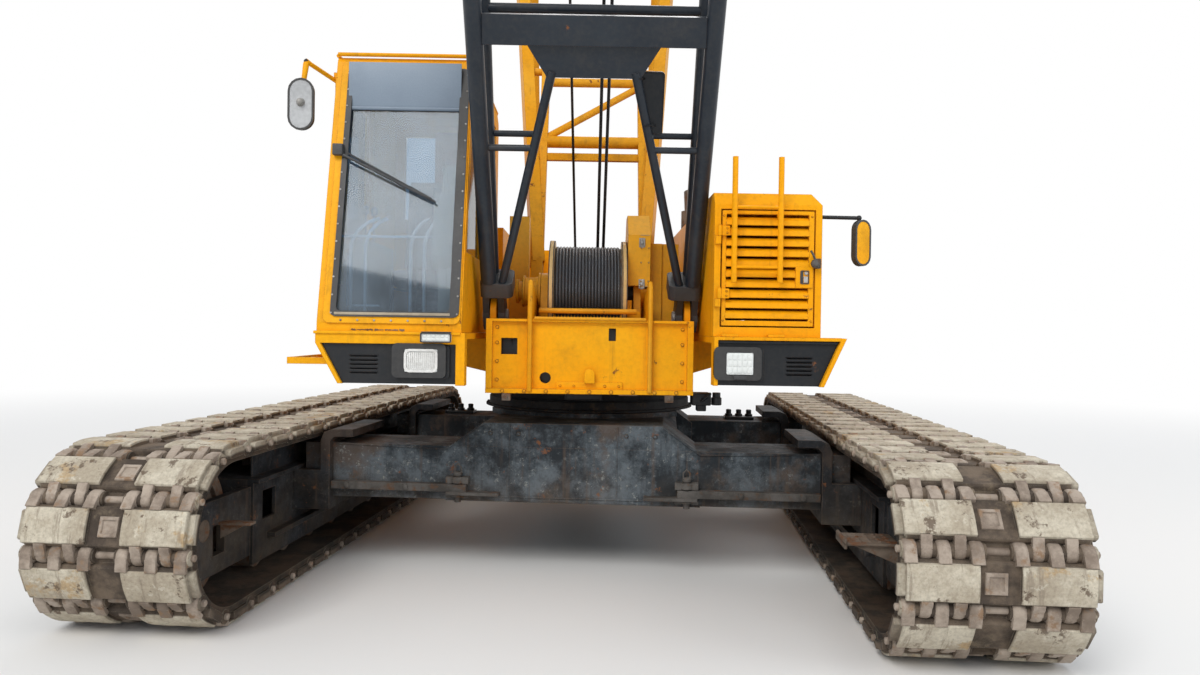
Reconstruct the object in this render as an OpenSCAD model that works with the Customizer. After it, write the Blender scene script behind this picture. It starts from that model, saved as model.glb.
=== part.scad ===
// Crawler crane with a lattice boom. The upper works face -Y.
// The slew axis is the Z axis and the ground is z = 0.

/* [Crawlers] */
// Width of a track shoe
shoe_width = 914; // [700:2:1100]
// Clear width between the two tracks
track_gap = 3400; // [3000:10:3800]
// Length over the tracks
track_length = 5800; // [5200:10:6600]
// Height of a track
track_height = 990; // [900:2:1080]
// Shoes on each track
shoe_count = 45; // [40:1:52]
// Angle at which the crawlers stand turned under the upper works
slew_rest = -5; // [-20:1:20]

/* [Upper works] */
// Underside of the revolving frame
frame_z = 1215; // [1180:1:1260]
// Height of the revolving frame
frame_height = 480; // [440:5:560]
// Width of the revolving frame
frame_width = 1340; // [1300:2:1500]
// Top of the deck that carries the cab and the house
deck_z = 1600; // [1560:2:1660]
// Outer side of the cab
cab_side = 1635; // [1600:2:1760]
// Inner side of the cab
cab_in = 770; // [760:2:860]
// Length of the cab
cab_length = 1900; // [1700:10:2200]
// Top of the cab roof
cab_top = 3350; // [3200:5:3500]
// Outer side of the machinery house
house_side = 1400; // [1340:2:1500]
// Top of the machinery house
house_top = 2480; // [2400:5:2600]
// Radius of the tail
tail_radius = 4150; // [3900:10:4400]
// Width of the counterweight
tail_width = 3180; // [2900:10:3300]

/* [Boom] */
// Length of the boom from foot pin to head pin
boom_length = 15240; // [14000:10:16000]
// Width and depth over the chord centres
boom_width = 1350; // [1200:2:1400]
// Diameter of a chord tube
chord = 102; // [89:1:140]
// Diameter of a lacing tube
lacing = 57; // [42:1:70]
// Angle of the boom over the ground
boom_angle = 62; // [55:1:70]
// Distance from the head pin down to the hook block
hook_drop = 3200; // [2600:10:3600]

/* [Gantry] */
// Height of the gantry head
gantry_top = 5600; // [5400:10:5900]
// Angle at which the gantry leans back over the ground
gantry_lean = 68.5; // [66:0.5:71]
// Length of the rope falls between gantry head and bridle
falls_length = 6000; // [5600:10:6400]

/* [Hidden] */
yellow = [0.80, 0.55, 0.08];
black = [0.06, 0.06, 0.06];
rust = [0.32, 0.22, 0.16];
steel = [0.45, 0.44, 0.42];
grey = [0.35, 0.35, 0.36];
rope = [0.20, 0.17, 0.14];
pane = [0.5, 0.6, 0.6];
seat_gap = 0.3;
run_gap = 0.05;
clear = 8;
seam_turn = 33;

// Track
wheel_r = track_height / 2;
span = track_length / 2 - wheel_r;
pin_r = wheel_r - 62;
belt_in = wheel_r - 104;
loop_length = 4 * span + 2 * PI * pin_r;
pitch = loop_length / shoe_count;
shoe_slab = 0.74 * pitch;
shoe_end = 42;
shoe_phase = 0.42;
pad_gap = 60;
pad_edge = 34;
hinge_open = 40;
hinge_edge = 16;
hinge_r = 39;
hinge_rise = 8;
crawler_x = track_gap / 2 + shoe_width / 2;
side_w = 560;
side_in = crawler_x - side_w / 2;
side_z = [300, 690];
beam_y = 1000;
beam_w = 500;
beam_z = [480, 840];
beam_end = side_in - 60;
beam_face = beam_y + beam_w / 2;
lock_bar = [700, track_gap / 2 - 80];
lock_arm = [480, 830];
lock_pin = 760;
roller_low_r = (side_z[0] - wheel_r + belt_in - 2 * seat_gap) / 2;
roller_top_r = 80;
axle_r = 60;
fork_reach = 245;
fork_z = [wheel_r - 268, wheel_r + 150];
frame_end = span - belt_in - 134;
roller_step = (2 * frame_end - 400) / 8;
top_roller_y = frame_end - 580;
saddle_x = [track_gap / 2 - 232, track_gap / 2 - 12];
saddle_t = 62;
saddle_top = 940;

// Car body and slew ring
body_top = 1000;
seat_top = 1031;
ring_top = seat_top + seat_gap + 84;

// Upper works
frame_top = frame_z + frame_height;
half_w = frame_width / 2;
web = 40;
front_y = -1380;
rear_y = 3000;
tail_z = [1230, 2560];
slab_h = 310;
floor_z = frame_z + 40 + seat_gap;
deck_t = 40;
cab_y = -1800;
cab_lean = 370;
wall = 40;
house_in = 745;
house_y = -1750;
left_side = 1600;
engine_y = [900, 2500];
side_door = [650, 1690, 1730, 2770];
left_door = [600, 1640];
door_z = [deck_z + 130, house_top - 110];
door_hinges = [deck_z + 180, deck_z + 560];
front_hinge = [house_in + 32, house_y - 17];
hinge_out = 17;
hinge_back = 8;

// Boom
foot = [-1050, 1720];
half_b = boom_width / 2;
joint_at = boom_length / 2;
chord_r = chord / 2;
lace_r = lacing / 2;
foot_pin_r = 45;
collar_w = [190, 290];
collar_x = [half_b - 158, half_b + 57];
panel_w = [1825, 1990];
head_half = 260;
head_x = 396;
head_w = boom_length - 360;
tip_start = joint_at + 500;
head_sheave = [-490, boom_length];
sheave_r = 300;
shaft_r = 50;
stay_at = [480, boom_length - 200];
stay_x = 330;
stay_pin_r = 30;

// Gantry
gantry_pin_r = 45;
head_tube_r = 60;
leg_foot_x = 432;
leg_head_x = 740;
strut_x = 600;
strut_foot = [2880, 1900];
g_foot = [-100, 1900];
g_head = [g_foot[0] + (gantry_top - g_foot[1]) / tan(gantry_lean), gantry_top];
g_sheave = [g_head[0] + 300, g_head[1] - 60];
fall_sheaves = [for (i = [0 : 7]) -262.5 + i * 75];
gantry_sheave_r = 200;
gantry_shaft_r = 40;
bridle_sheave_r = 180;
fall_r = 9;
becket_x = 301;

function boom_point(v, w) = [
    foot[0] - w * cos(boom_angle) + v * sin(boom_angle),
    foot[1] + w * sin(boom_angle) + v * cos(boom_angle)
];
function gantry_y(z) = g_foot[0] + (z - g_foot[1]) / tan(gantry_lean);

sheave_at = boom_point(head_sheave[0], head_sheave[1]);
stay_pin = boom_point(stay_at[0], stay_at[1]);
stay_line = g_sheave - stay_pin;
stay_total = norm(stay_line);
stay_dir = stay_line / stay_total;
stay_up = [-stay_dir[1], stay_dir[0]];
bridle_pin = stay_pin + stay_dir * (stay_total - falls_length);
function on_stay(d) = stay_pin + stay_dir * d;

// Box between two corners
module block(x0, x1, y0, y1, z0, z1)
    translate([x0, y0, z0]) cube([x1 - x0, y1 - y0, z1 - z0]);

// Turns +Z into the direction from a to b
module along(a, b) {
    d = b - a;
    translate(a) rotate([0, acos(d[2] / norm(d)), atan2(d[1], d[0])]) children();
}

// Round bar between two points
module rod(a, b, r)
    along(a, b) rotate([0, 0, seam_turn]) cylinder(h = norm(b - a), r = r);

// Square bar between two points, depth in the upright plane, width across it
module beam(a, b, depth, width)
    along(a, b) translate([-depth / 2, -width / 2, 0]) cube([depth, width, norm(b - a)]);

// Cylinder along X
module bar_x(x0, x1, y, z, r)
    translate([x0, y, z]) rotate([0, 90, 0]) cylinder(h = x1 - x0, r = r);

// Profile in Y and Z drawn along X
module side_profile(x0, x1, points)
    translate([x0, 0, 0]) rotate([90, 0, 90]) linear_extrude(x1 - x0) polygon(points);

// Profile in X and Z drawn along Y
module front_profile(y0, y1, points)
    translate([0, y1, 0]) rotate([90, 0, 0]) linear_extrude(y1 - y0) polygon(points);

module both()
    for (s = [0, 1]) mirror([s, 0, 0]) children();

module under()
    rotate([0, 0, slew_rest]) children();

module in_boom()
    translate([0, foot[0], foot[1]]) rotate([90 - boom_angle, 0, 0]) children();

// Door hinge on an upright axis: the pin stays, the barrel turns with the door
module hinge_pin(x, y, z) translate([x, y, z]) cylinder(h = 120, r = 8);

module hinge_barrel(x, y, z)
    difference() {
        union() {
            translate([x, y, z + 52]) cylinder(h = 60, r = 13);
            children();
        }
        translate([x, y, z]) cylinder(h = 130, r = 8 + run_gap);
    }

// Undercarriage

// Place on the track's pin line: Y, Z and turn
function loop_place(s) =
    s < 2 * span ? [-span + s, wheel_r + pin_r, 0] :
    s < 2 * span + PI * pin_r ? let (a = (s - 2 * span) / pin_r * 180 / PI)
        [span + pin_r * sin(a), wheel_r + pin_r * cos(a), -a] :
    s < 4 * span + PI * pin_r ? let (t = s - 2 * span - PI * pin_r)
        [span - t, wheel_r - pin_r, -180] :
    let (a = (s - 4 * span - PI * pin_r) / pin_r * 180 / PI)
        [-span - pin_r * sin(a), wheel_r - pin_r * cos(a), -180 - a];

module on_loop(x0, x1, phase)
    translate([x0, 0, 0]) rotate([90, 0, 90]) linear_extrude(x1 - x0)
        for (i = [0 : shoe_count - 1]) {
            p = loop_place(((i + 0.5 + phase) * pitch) % loop_length);
            translate([p[0], p[1]]) rotate(p[2]) children();
        }

// Solid with two round ends, along X
module stadium(x0, x1, r) {
    for (e = [-1, 1]) bar_x(x0, x1, e * span, wheel_r, r);
    block(x0, x1, -span, span, wheel_r - r, wheel_r + r);
}

module shoe_section(share) {
    w = shoe_slab * share / 2;
    polygon([[-w, -14], [-w, 22], [-w + 8, 34], [w - 8, 34], [w, 22], [w, -14]]);
}

// One loop: links in the middle, hinged slabs, two worn pads on each shoe
module track(x, phase) {
    half = shoe_width / 2;
    out = wheel_r - pin_r;
    difference() {
        union() {
            stadium(x - half + 20, x + half - 20, pin_r + 8);
            on_loop(x - half + shoe_end, x + half - shoe_end, phase) shoe_section(1);
            on_loop(x - half, x + half, phase) shoe_section(0.74);
            intersection() {
                for (e = [-1, 1])
                    on_loop(x + e * (half + pad_gap) / 2 - (half - pad_gap) / 2 + pad_edge,
                        x + e * (half + pad_gap) / 2 + (half - pad_gap) / 2 - pad_edge, phase)
                        polygon([[-shoe_slab * 0.46, 30], [-shoe_slab * 0.41, out + 3],
                            [shoe_slab * 0.41, out + 3], [shoe_slab * 0.46, 30]]);
                stadium(x - half - 5, x + half + 5, wheel_r);
            }
            // Hinge barrels between the shoes, open where the pin shows
            for (e = [-1, 1])
                on_loop(x + e * (half + hinge_open) / 2 - (half - hinge_open) / 2 + hinge_edge,
                    x + e * (half + hinge_open) / 2 + (half - hinge_open) / 2 - hinge_edge, phase - 0.5)
                    translate([0, hinge_rise]) circle(hinge_r);
        }
        stadium(x - half - 10, x + half + 10, belt_in);
    }
}

module left_track() color(steel) under() track(-crawler_x, shoe_phase);
module right_track() color(steel) under() track(crawler_x, 0);

// Box of one side frame with its forks, its window and its inner ledge
module side_frame() {
    x = crawler_x;
    difference() {
        union() {
            block(side_in, x + side_w / 2, -frame_end, frame_end, side_z[0], side_z[1]);
            block(side_in - 60, side_in + 1, 180 - frame_end, frame_end - 180,
                side_z[0], side_z[0] + 30);
            block(side_in - 35, side_in + 1, -frame_end, frame_end, side_z[1] - 25, side_z[1]);
            for (s = [-1, 1], e = [-1, 1])
                block(x + s * 235 - 25, x + s * 235 + 25,
                    e > 0 ? frame_end - 10 : -span - fork_reach,
                    e > 0 ? span + fork_reach : 10 - frame_end, fork_z[0], fork_z[1]);
            // Skirts over the rollers and plates beside the top rollers
            for (s = [-1, 1]) {
                block(x + s * (side_w / 2 - 12) - 12, x + s * (side_w / 2 - 12) + 12,
                    -frame_end, frame_end, side_z[0] - 130, side_z[0] + 1);
                block(x + s * 216 - 6, x + s * 216 + 6, 100 - frame_end, frame_end - 100,
                    side_z[1] - 1, side_z[1] + 130);
            }
        }
        block(side_in + 25, x + side_w / 2 - 25, 70 - frame_end, 550 - frame_end,
            side_z[0] + 30, side_z[1] - 30);
        block(side_in - 1, side_in + 30, 120 - frame_end, 300 - frame_end, 420, 600);
        // Window beside the front idler
        block(side_in - 1, side_in + 90, 90 - span, 220 - span, 330, 500);
        for (e = [-1, 1])
            bar_x(x - 300, x + 300, e * span, wheel_r, axle_r + seat_gap);
    }
    // Stops of the front idler's yoke
    for (s = [-1, 1])
        block(x + s * 180 - 30, x + s * 180 + 30, -frame_end - 80, 1 - seat_gap - frame_end, 420, 560);
}

// Hook over the end of a cross beam, on the side frame's inner face
module saddle(e) difference() {
    h = beam_w / 2 + 70;
    translate([0, e * beam_y, 0]) union() {
        front_profile(-h, h, [[saddle_x[1] - saddle_t, 400], [saddle_x[1], 400],
            [saddle_x[1], saddle_top - 75], [saddle_x[1] - 22, saddle_top - 22],
            [saddle_x[1] - 75, saddle_top], [saddle_x[0], saddle_top],
            [saddle_x[0], saddle_top - 50], [saddle_x[1] - saddle_t - 30, saddle_top - 50],
            [saddle_x[1] - saddle_t, saddle_top - 80]]);
        block(saddle_x[1] - 20, side_in - seat_gap, -h, h, 400, side_z[1] - 25 - seat_gap);
    }
    block(side_in - 410, side_in + 1, e * beam_y - beam_w / 2 - seat_gap,
        e * beam_y + beam_w / 2 + seat_gap, beam_z[0] - seat_gap, beam_z[1] + seat_gap);
}

module side_frames() color(black) under() both() side_frame();
module saddles() color(black) under() both() for (e = [-1, 1]) saddle(e);

// Idler or sprocket: two rims on a hub, with an axle in the forks
module wheel_pair(x, y) difference() {
    union() {
        for (s = [-1, 1]) bar_x(x + s * 120 - 50, x + s * 120 + 50, y, wheel_r, belt_in - seat_gap);
        bar_x(x - 200, x + 200, y, wheel_r, 150);
        bar_x(x - 258, x + 258, y, wheel_r, axle_r);
    }
    for (s = [-1, 1]) translate([x + s * 171, y, wheel_r]) rotate([0, 90, 0]) difference() {
        cylinder(h = 60, r = belt_in - 70, center = true);
        cylinder(h = 62, r = 150, center = true);
    }
}

module idlers() color(rust) under() for (s = [-1, 1]) wheel_pair(s * crawler_x, -span);
module sprockets() color(rust) under() for (s = [-1, 1]) wheel_pair(s * crawler_x, span);

module roller_row(x) {
    z = wheel_r - belt_in + seat_gap + roller_low_r;
    for (i = [-4 : 4]) {
        y = i * roller_step;
        bar_x(x - 200, x - 60, y, z, roller_low_r);
        bar_x(x + 60, x + 200, y, z, roller_low_r);
        bar_x(x - 60, x + 60, y, z, roller_low_r - 25);
    }
    zt = wheel_r + belt_in - seat_gap - roller_top_r;
    for (y = [-top_roller_y, 0, top_roller_y]) {
        bar_x(x - 150, x + 150, y, zt, roller_top_r);
        block(x - 60, x + 60, y - 55, y + 55, side_z[1] + seat_gap, zt);
    }
}

module rollers() color(rust) under() for (s = [-1, 1]) roller_row(s * crawler_x);

module drive() {
    bar_x(crawler_x - 620, crawler_x - 460, span, wheel_r, 150);
    bar_x(crawler_x - 470, crawler_x - 260 - seat_gap, span, wheel_r, 200);
}

module drives() color(black) under() both() drive();

module car_body() color(black) under() difference() {
    union() {
        front_profile(2 - beam_face, beam_face - 2, [[-600, body_top], [600, body_top],
            [850, beam_z[1] - 20], [850, beam_z[0] - 8], [-850, beam_z[0] - 8], [-850, beam_z[1] - 20]]);
        translate([0, 0, body_top - 10]) cylinder(h = seat_top - body_top + 10, r = 830);
        for (e = [-1, 1])
            block(-beam_end, beam_end, e * beam_y - beam_w / 2, e * beam_y + beam_w / 2,
                beam_z[0], beam_z[1]);
    }
    translate([0, 0, 380]) cylinder(h = 700, r = 420);
    // Recessed sides between the beams
    both() block(700, 900, -beam_y + beam_w / 2 + 30, beam_y - beam_w / 2 - 30, 380, 1100);
}

module slew_ring() color(rust) under() translate([0, 0, seat_top + seat_gap]) difference() {
    cylinder(h = 84, r = 780);
    translate([0, 0, -1]) cylinder(h = 90, r = 560);
}

module slew_ring_upper() color(rust) translate([0, 0, ring_top + seat_gap]) difference() {
    cylinder(h = frame_z - ring_top - 2 * seat_gap, r = 740);
    translate([0, 0, -1]) cylinder(h = 200, r = 560);
}

// Lock bars of the side frames with their upright pins, on the front and rear of the beams
module lock_links() color(rust) under()
    for (s = [-1, 1], e = [-1, 1]) {
        y = e * (beam_face + seat_gap);
        x = [for (v = concat(lock_bar, lock_arm)) s * v];
        block(min(x[0], x[1]), max(x[0], x[1]), e > 0 ? y : y - 60, e > 0 ? y + 60 : y, 540, 590);
        block(min(x[2], x[3]), max(x[2], x[3]), e > 0 ? y : y - 80, e > 0 ? y + 80 : y, 520, 541);
        translate([s * lock_pin, y + e * 30, 470]) cylinder(h = 180, r = 22);
    }

// Upper works

module revolving_frame() color(yellow) difference() {
    union() {
        block(-half_w, half_w, front_y, rear_y, frame_z, frame_z + 40);
        block(-half_w, half_w, front_y, front_y + 30, frame_z, frame_top);
        block(-half_w, half_w, front_y - 40, front_y + 1, frame_z, frame_z + 30);
        block(-half_w + 30, half_w - 30, front_y - 30, foot[0] - 130, frame_top - 18, frame_top);
        both() {
            // Web with the boom foot bracket
            block(half_w - web, half_w, front_y - 30, rear_y, frame_z, frame_top);
            bar_x(half_w - web, half_w, foot[0], foot[1], 150);
            side_profile(half_w - web, half_w, [[foot[0], frame_top - 1], [foot[0] + 350, frame_top - 1],
                [foot[0] + 110, foot[1] + 90], [foot[0], foot[1] + 90]]);
            // Inner rib that rises beside the winch
            side_profile(375, 400, [[front_y - 40, frame_z], [-420, frame_z], [-420, 1760],
                [-700, 1800], [front_y + 60, 1930], [front_y - 20, 1930], [front_y - 40, 1900]]);
            block(375, 400, -430, rear_y, frame_z, frame_top);
            // Brackets of the gantry legs and of the rear struts
            for (x = [leg_foot_x - 50 - 24 - seat_gap, leg_foot_x + 50 + seat_gap])
                side_profile(x, x + 24, [[g_foot[0] - 240, frame_z + 20], [g_foot[0] + 240, frame_z + 20],
                    [g_foot[0] + 90, g_foot[1] + 100], [g_foot[0] - 90, g_foot[1] + 100]]);
            for (x = [strut_x - 45 - 24 - seat_gap, strut_x + 45 + seat_gap])
                side_profile(x, x + 24, [[strut_foot[0] - 240, frame_z + 20], [rear_y, frame_z + 20],
                    [rear_y, strut_foot[1] + 60], [strut_foot[0] + 60, strut_foot[1] + 100],
                    [strut_foot[0] - 70, strut_foot[1] + 100]]);
        }
        for (y = [0, 1200, 2400]) block(-half_w, half_w, y, y + 30, frame_z + 20, frame_top);
        // Deck under the cab and the houses, on outriggers
        block(-cab_side, -half_w + 5, -500, rear_y, deck_z - deck_t, deck_z);
        block(-cab_side, -house_in, cab_y, -499, deck_z - deck_t, deck_z);
        block(half_w - 5, house_side, -500, rear_y, deck_z - deck_t, deck_z);
        block(house_in, house_side, house_y, -499, deck_z - deck_t, deck_z);
        for (y = [-400, 800, 1800, 2760]) {
            side = y < 2000 ? 1560 : 1500;
            front_profile(y, y + 40, [[-half_w + 5, frame_z + 60], [-half_w + 5, deck_z - 10],
                [-side, deck_z - 10], [-side, deck_z - 120]]);
            front_profile(y, y + 40, [[half_w - 5, frame_z + 60], [half_w - 5, deck_z - 10],
                [1340, deck_z - 10], [1340, deck_z - 120]]);
        }
        // Sloped lip in front of the cab, cheeks of the aprons and their slanted outer strips
        front_profile(cab_y - 25, cab_y + 1, [[-cab_side, deck_z - 70], [-house_in, deck_z - 70],
            [-house_in, deck_z], [-cab_side, deck_z]]);
        front_profile(cab_y - 25, cab_y + 60, [[-house_in, frame_z + 70], [-800, frame_z + 70],
            [-800, deck_z - 10], [-house_in, deck_z - 10]]);
        front_profile(cab_y - 25, cab_y + 300, [[-cab_side, deck_z - 69], [-1500, frame_z + 75],
            [-1475, frame_z + 75], [-cab_side + 30, deck_z - 69]]);
        front_profile(house_y - 60, house_y + 60, [[house_in, frame_z + 90], [house_in + 25, frame_z + 90],
            [house_in + 25, deck_z - 10], [house_in, deck_z - 10]]);
        front_profile(house_y - 60, house_y + 300, [[1385, frame_z + 90], [1410, frame_z + 90],
            [1545, deck_z - 1], [1515, deck_z - 1]]);
        block(house_in, 1530, house_y - 60, house_y + 300, deck_z - 20, deck_z);
    }
    translate([0, 0, frame_z - 5]) cylinder(h = 80, r = 520);
    bar_x(-800, 800, foot[0], foot[1], foot_pin_r + seat_gap);
    bar_x(-800, 800, g_foot[0], g_foot[1], gantry_pin_r + seat_gap);
    bar_x(-800, 800, strut_foot[0], strut_foot[1], gantry_pin_r + seat_gap);
    // Openings of the front plate
    block(-575, -470, front_y - 50, front_y + 40, 1465, 1570);
    translate([-287, front_y + 40, 1315]) rotate([90, 0, 0]) cylinder(h = 60, r = 36);
    block(122, 168, front_y - 10, front_y + 40, 1560, 1640);
}

// Pins of the boom foot and of the rear struts
module frame_pins() color(steel) both() {
    bar_x(half_w - web - 70, half_w + 62, foot[0], foot[1], foot_pin_r);
    bar_x(strut_x - 85, strut_x + 85, strut_foot[0], strut_foot[1], gantry_pin_r);
}

// Tail slabs with seams, rounded to the tail's radius
module counterweight() color(yellow) difference() {
    intersection() {
        block(-tail_width / 2, tail_width / 2, rear_y + seat_gap, tail_radius + 10, tail_z[0], tail_z[1]);
        translate([0, 0, tail_z[0] - 30]) cylinder(h = tail_z[1] - tail_z[0] + 60, r = tail_radius);
    }
    for (z = [tail_z[0] + 100 + slab_h : slab_h : tail_z[1] - slab_h / 2])
        difference() {
            block(-tail_width, tail_width, rear_y - 100, tail_radius + 100, z, z + 14);
            block(-tail_width / 2 + 18, tail_width / 2 - 18, rear_y - 200, tail_radius - 140,
                z - 1, z + 15);
            translate([0, 0, z - 1]) cylinder(h = 16, r = tail_radius - 18);
        }
    block(-strut_x, strut_x, rear_y - 10, rear_y + 240, frame_top + 5, tail_z[1] + 40);
}

module engine() color(grey)
    block(house_in + 60, house_side - 100, engine_y[0], engine_y[1],
        deck_z + wall + seat_gap, house_top - 180);

module exhaust() color(rust) {
    translate([1040, 2200, house_top + seat_gap]) cylinder(h = 420, r = 90);
    rod([1040, 2200, house_top + 400], [1040, 2300, house_top + 640], 55);
}

// Side view of the cab: the front glass leans back
glass_low = deck_z + 55;
glass_slope = cab_lean / (cab_top - 30 - glass_low);
cab_profile = [
    [cab_y, deck_z + seat_gap], [cab_y + cab_length, deck_z + seat_gap],
    [cab_y + cab_length, cab_top - 60], [cab_y + cab_length - 100, cab_top],
    [cab_y + cab_lean + 20, cab_top], [cab_y + cab_lean, cab_top - 30], [cab_y, glass_low]
];
cab_hollow = [
    [cab_y + wall, deck_z + wall], [cab_y + cab_length - wall, deck_z + wall],
    [cab_y + cab_length - wall, cab_top - 90], [cab_y + cab_length - 120, cab_top - wall],
    [cab_y + cab_lean + 40, cab_top - wall], [cab_y + wall, glass_low]
];
function glass_y(z) = cab_y + (z - glass_low) * glass_slope;

module cab_shell() color(yellow) difference() {
    union() {
        side_profile(-cab_side, -cab_in, cab_profile);
        // Rail that carries the sliding door
        block(-cab_side - 45, -cab_side + 1, cab_y + 440, cab_y + cab_length, cab_top - 110, cab_top - 80);
    }
    side_profile(-cab_side + wall, -cab_in - wall, cab_hollow);
    // Windscreen
    block(-cab_side + 62, -cab_in - 40, cab_y - 50, cab_y + cab_lean + 60, deck_z + 82, cab_top - 62);
    // Inner side windows
    side_profile(-cab_in - wall - 10, -cab_in + 10, [
        [cab_y + 160, deck_z + 500], [cab_y + 800, deck_z + 500],
        [cab_y + 800, cab_top - 130], [cab_y + cab_lean + 80, cab_top - 130]]);
    block(-cab_in - wall - 10, -cab_in + 10, cab_y + 880, cab_y + 1700, deck_z + 700, cab_top - 130);
    // Rear window
    block(-cab_side + 120, -cab_in - 120, cab_y + cab_length - 60, cab_y + cab_length + 10,
        deck_z + 900, cab_top - 180);
    // Doorway and the quarter window before it
    block(-cab_side - 10, -cab_side + wall + 10, cab_y + 480, cab_y + 1180, deck_z + 90, cab_top - 130);
    side_profile(-cab_side - 10, -cab_side + wall + 10, [
        [cab_y + 110, deck_z + 300], [cab_y + 420, deck_z + 300],
        [cab_y + 420, cab_top - 150], [cab_y + cab_lean + 20, cab_top - 150]]);
    // Roof window
    block(-cab_side + 150, -cab_in - 150, cab_y + 600, cab_y + 1100, cab_top - 60, cab_top + 10);
}

module cab_glass() color(pane) {
    z0 = deck_z + 82 + seat_gap;
    z1 = cab_top - 62 - seat_gap;
    y0 = glass_y(z0) + 12;
    y1 = glass_y(z1) + 12;
    side_profile(-cab_side + 62 + seat_gap, -cab_in - 40 - seat_gap,
        [[y0, z0], [y1, z1], [y1 + 8, z1], [y0 + 8, z0]]);
    block(-cab_side + 120 + seat_gap, -cab_in - 120 - seat_gap, cab_y + cab_length - 24,
        cab_y + cab_length - 16, deck_z + 900 + seat_gap, cab_top - 180 - seat_gap);
    block(-cab_side + 150 + seat_gap, -cab_in - 150 - seat_gap, cab_y + 600 + seat_gap,
        cab_y + 1100 - seat_gap, cab_top - 24, cab_top - 16);
    block(-cab_in - 24, -cab_in - 16, cab_y + 880 + seat_gap, cab_y + 1700 - seat_gap,
        deck_z + 700 + seat_gap, cab_top - 130 - seat_gap);
    side_profile(-cab_in - 24, -cab_in - 16, [
        [cab_y + 160 + seat_gap, deck_z + 500 + seat_gap],
            [cab_y + 800 - seat_gap, deck_z + 500 + seat_gap],
        [cab_y + 800 - seat_gap, cab_top - 130 - seat_gap],
            [cab_y + cab_lean + 81, cab_top - 130 - seat_gap]]);
    side_profile(-cab_side + 16, -cab_side + 24, [
        [cab_y + 111, deck_z + 300 + seat_gap], [cab_y + 420 - seat_gap, deck_z + 300 + seat_gap],
        [cab_y + 420 - seat_gap, cab_top - 150 - seat_gap],
            [cab_y + cab_lean + 21, cab_top - 150 - seat_gap]]);
}

// Sliding door outside the cab's wall, hung from the rail
door_x = -cab_side - clear;
module cab_door() color(yellow) difference() {
    block(door_x - 30, door_x, cab_y + 450, cab_y + 1210, deck_z + 60, cab_top - 110 - seat_gap);
    block(door_x - 31, door_x + 1, cab_y + 520, cab_y + 1140, deck_z + 620, cab_top - 190);
    block(door_x - 31, door_x + 1, cab_y + 520, cab_y + 1140, deck_z + 170, deck_z + 520);
}

module cab_door_glass() color(pane) {
    block(door_x - 18, door_x - 12, cab_y + 520 + seat_gap, cab_y + 1140 - seat_gap,
        deck_z + 620 + seat_gap, cab_top - 190 - seat_gap);
    block(door_x - 18, door_x - 12, cab_y + 520 + seat_gap, cab_y + 1140 - seat_gap,
        deck_z + 170 + seat_gap, deck_z + 520 - seat_gap);
}

module cab_seat() color(black) {
    block(-1420, -980, cab_y + 850, cab_y + 1300, deck_z + 300, deck_z + 440);
    side_profile(-1410, -990, [[cab_y + 1240, deck_z + 430], [cab_y + 1320, deck_z + 430],
        [cab_y + 1460, deck_z + 1150], [cab_y + 1360, deck_z + 1150]]);
    block(-1300, -1100, cab_y + 950, cab_y + 1200, deck_z + wall + seat_gap, deck_z + 310);
}

module cab_console() color(grey) {
    block(-1580, -1460, cab_y + 500, cab_y + 1250, deck_z + wall + seat_gap, deck_z + 600);
    side_profile(-960, -cab_in - wall - 20, [[cab_y + 260, deck_z + wall + seat_gap],
        [cab_y + 1250, deck_z + wall + seat_gap], [cab_y + 1250, deck_z + 620],
        [cab_y + 620, deck_z + 620], [cab_y + 560, deck_z + 1080], [cab_y + 420, deck_z + 1080],
        [cab_y + 260, deck_z + 560]]);
}

// Step under the cab door on its bracket
module cab_steps() color(yellow) {
    block(-1830, -1585, cab_y + 60, cab_y + 100, 1400, 1440);
    block(-1830, -1800, cab_y + 60, cab_y + 1200, 1400, 1440);
    block(-1830, -1600, cab_y + 500, cab_y + 1200, 1388, 1401);
    for (y = [cab_y + 500, cab_y + 1160])
        block(-1640, -1600, y, y + 40, 1390, deck_z - deck_t - seat_gap);
}

// Black aprons under the cab and the house, with their vent slots
module aprons() color(black) difference() {
    union() {
        front_profile(cab_y - 4, cab_y + 30, [[-1474, frame_z + 77], [-800 - seat_gap, frame_z + 77],
            [-800 - seat_gap, deck_z - 70 - seat_gap], [-cab_side + 32, deck_z - 70 - seat_gap]]);
        front_profile(house_y - 30, house_y - seat_gap, [[house_in + 25 + seat_gap, frame_z + 92],
            [1384, frame_z + 92], [1505, deck_z - 20 - seat_gap],
            [house_in + 25 + seat_gap, deck_z - 20 - seat_gap]]);
    }
    for (i = [0 : 4]) {
        block(-1430, -1270, cab_y - 5, cab_y + 40, 1350 + i * 25, 1361 + i * 25);
        block(1190, 1340, house_y - 31, house_y + 10, 1370 + i * 25, 1381 + i * 25);
    }
}

module headlamps() color([0.8, 0.8, 0.8]) {
    block(-1100, -905, cab_y - 40, cab_y - 4 - seat_gap, 1365, 1500);
    block(820, 980, house_y - 70, house_y - 30 - seat_gap, 1375, 1505);
    block(-1000, -825, cab_y - 65, cab_y - 25 - seat_gap, deck_z - 55, deck_z - 5);
}

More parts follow.
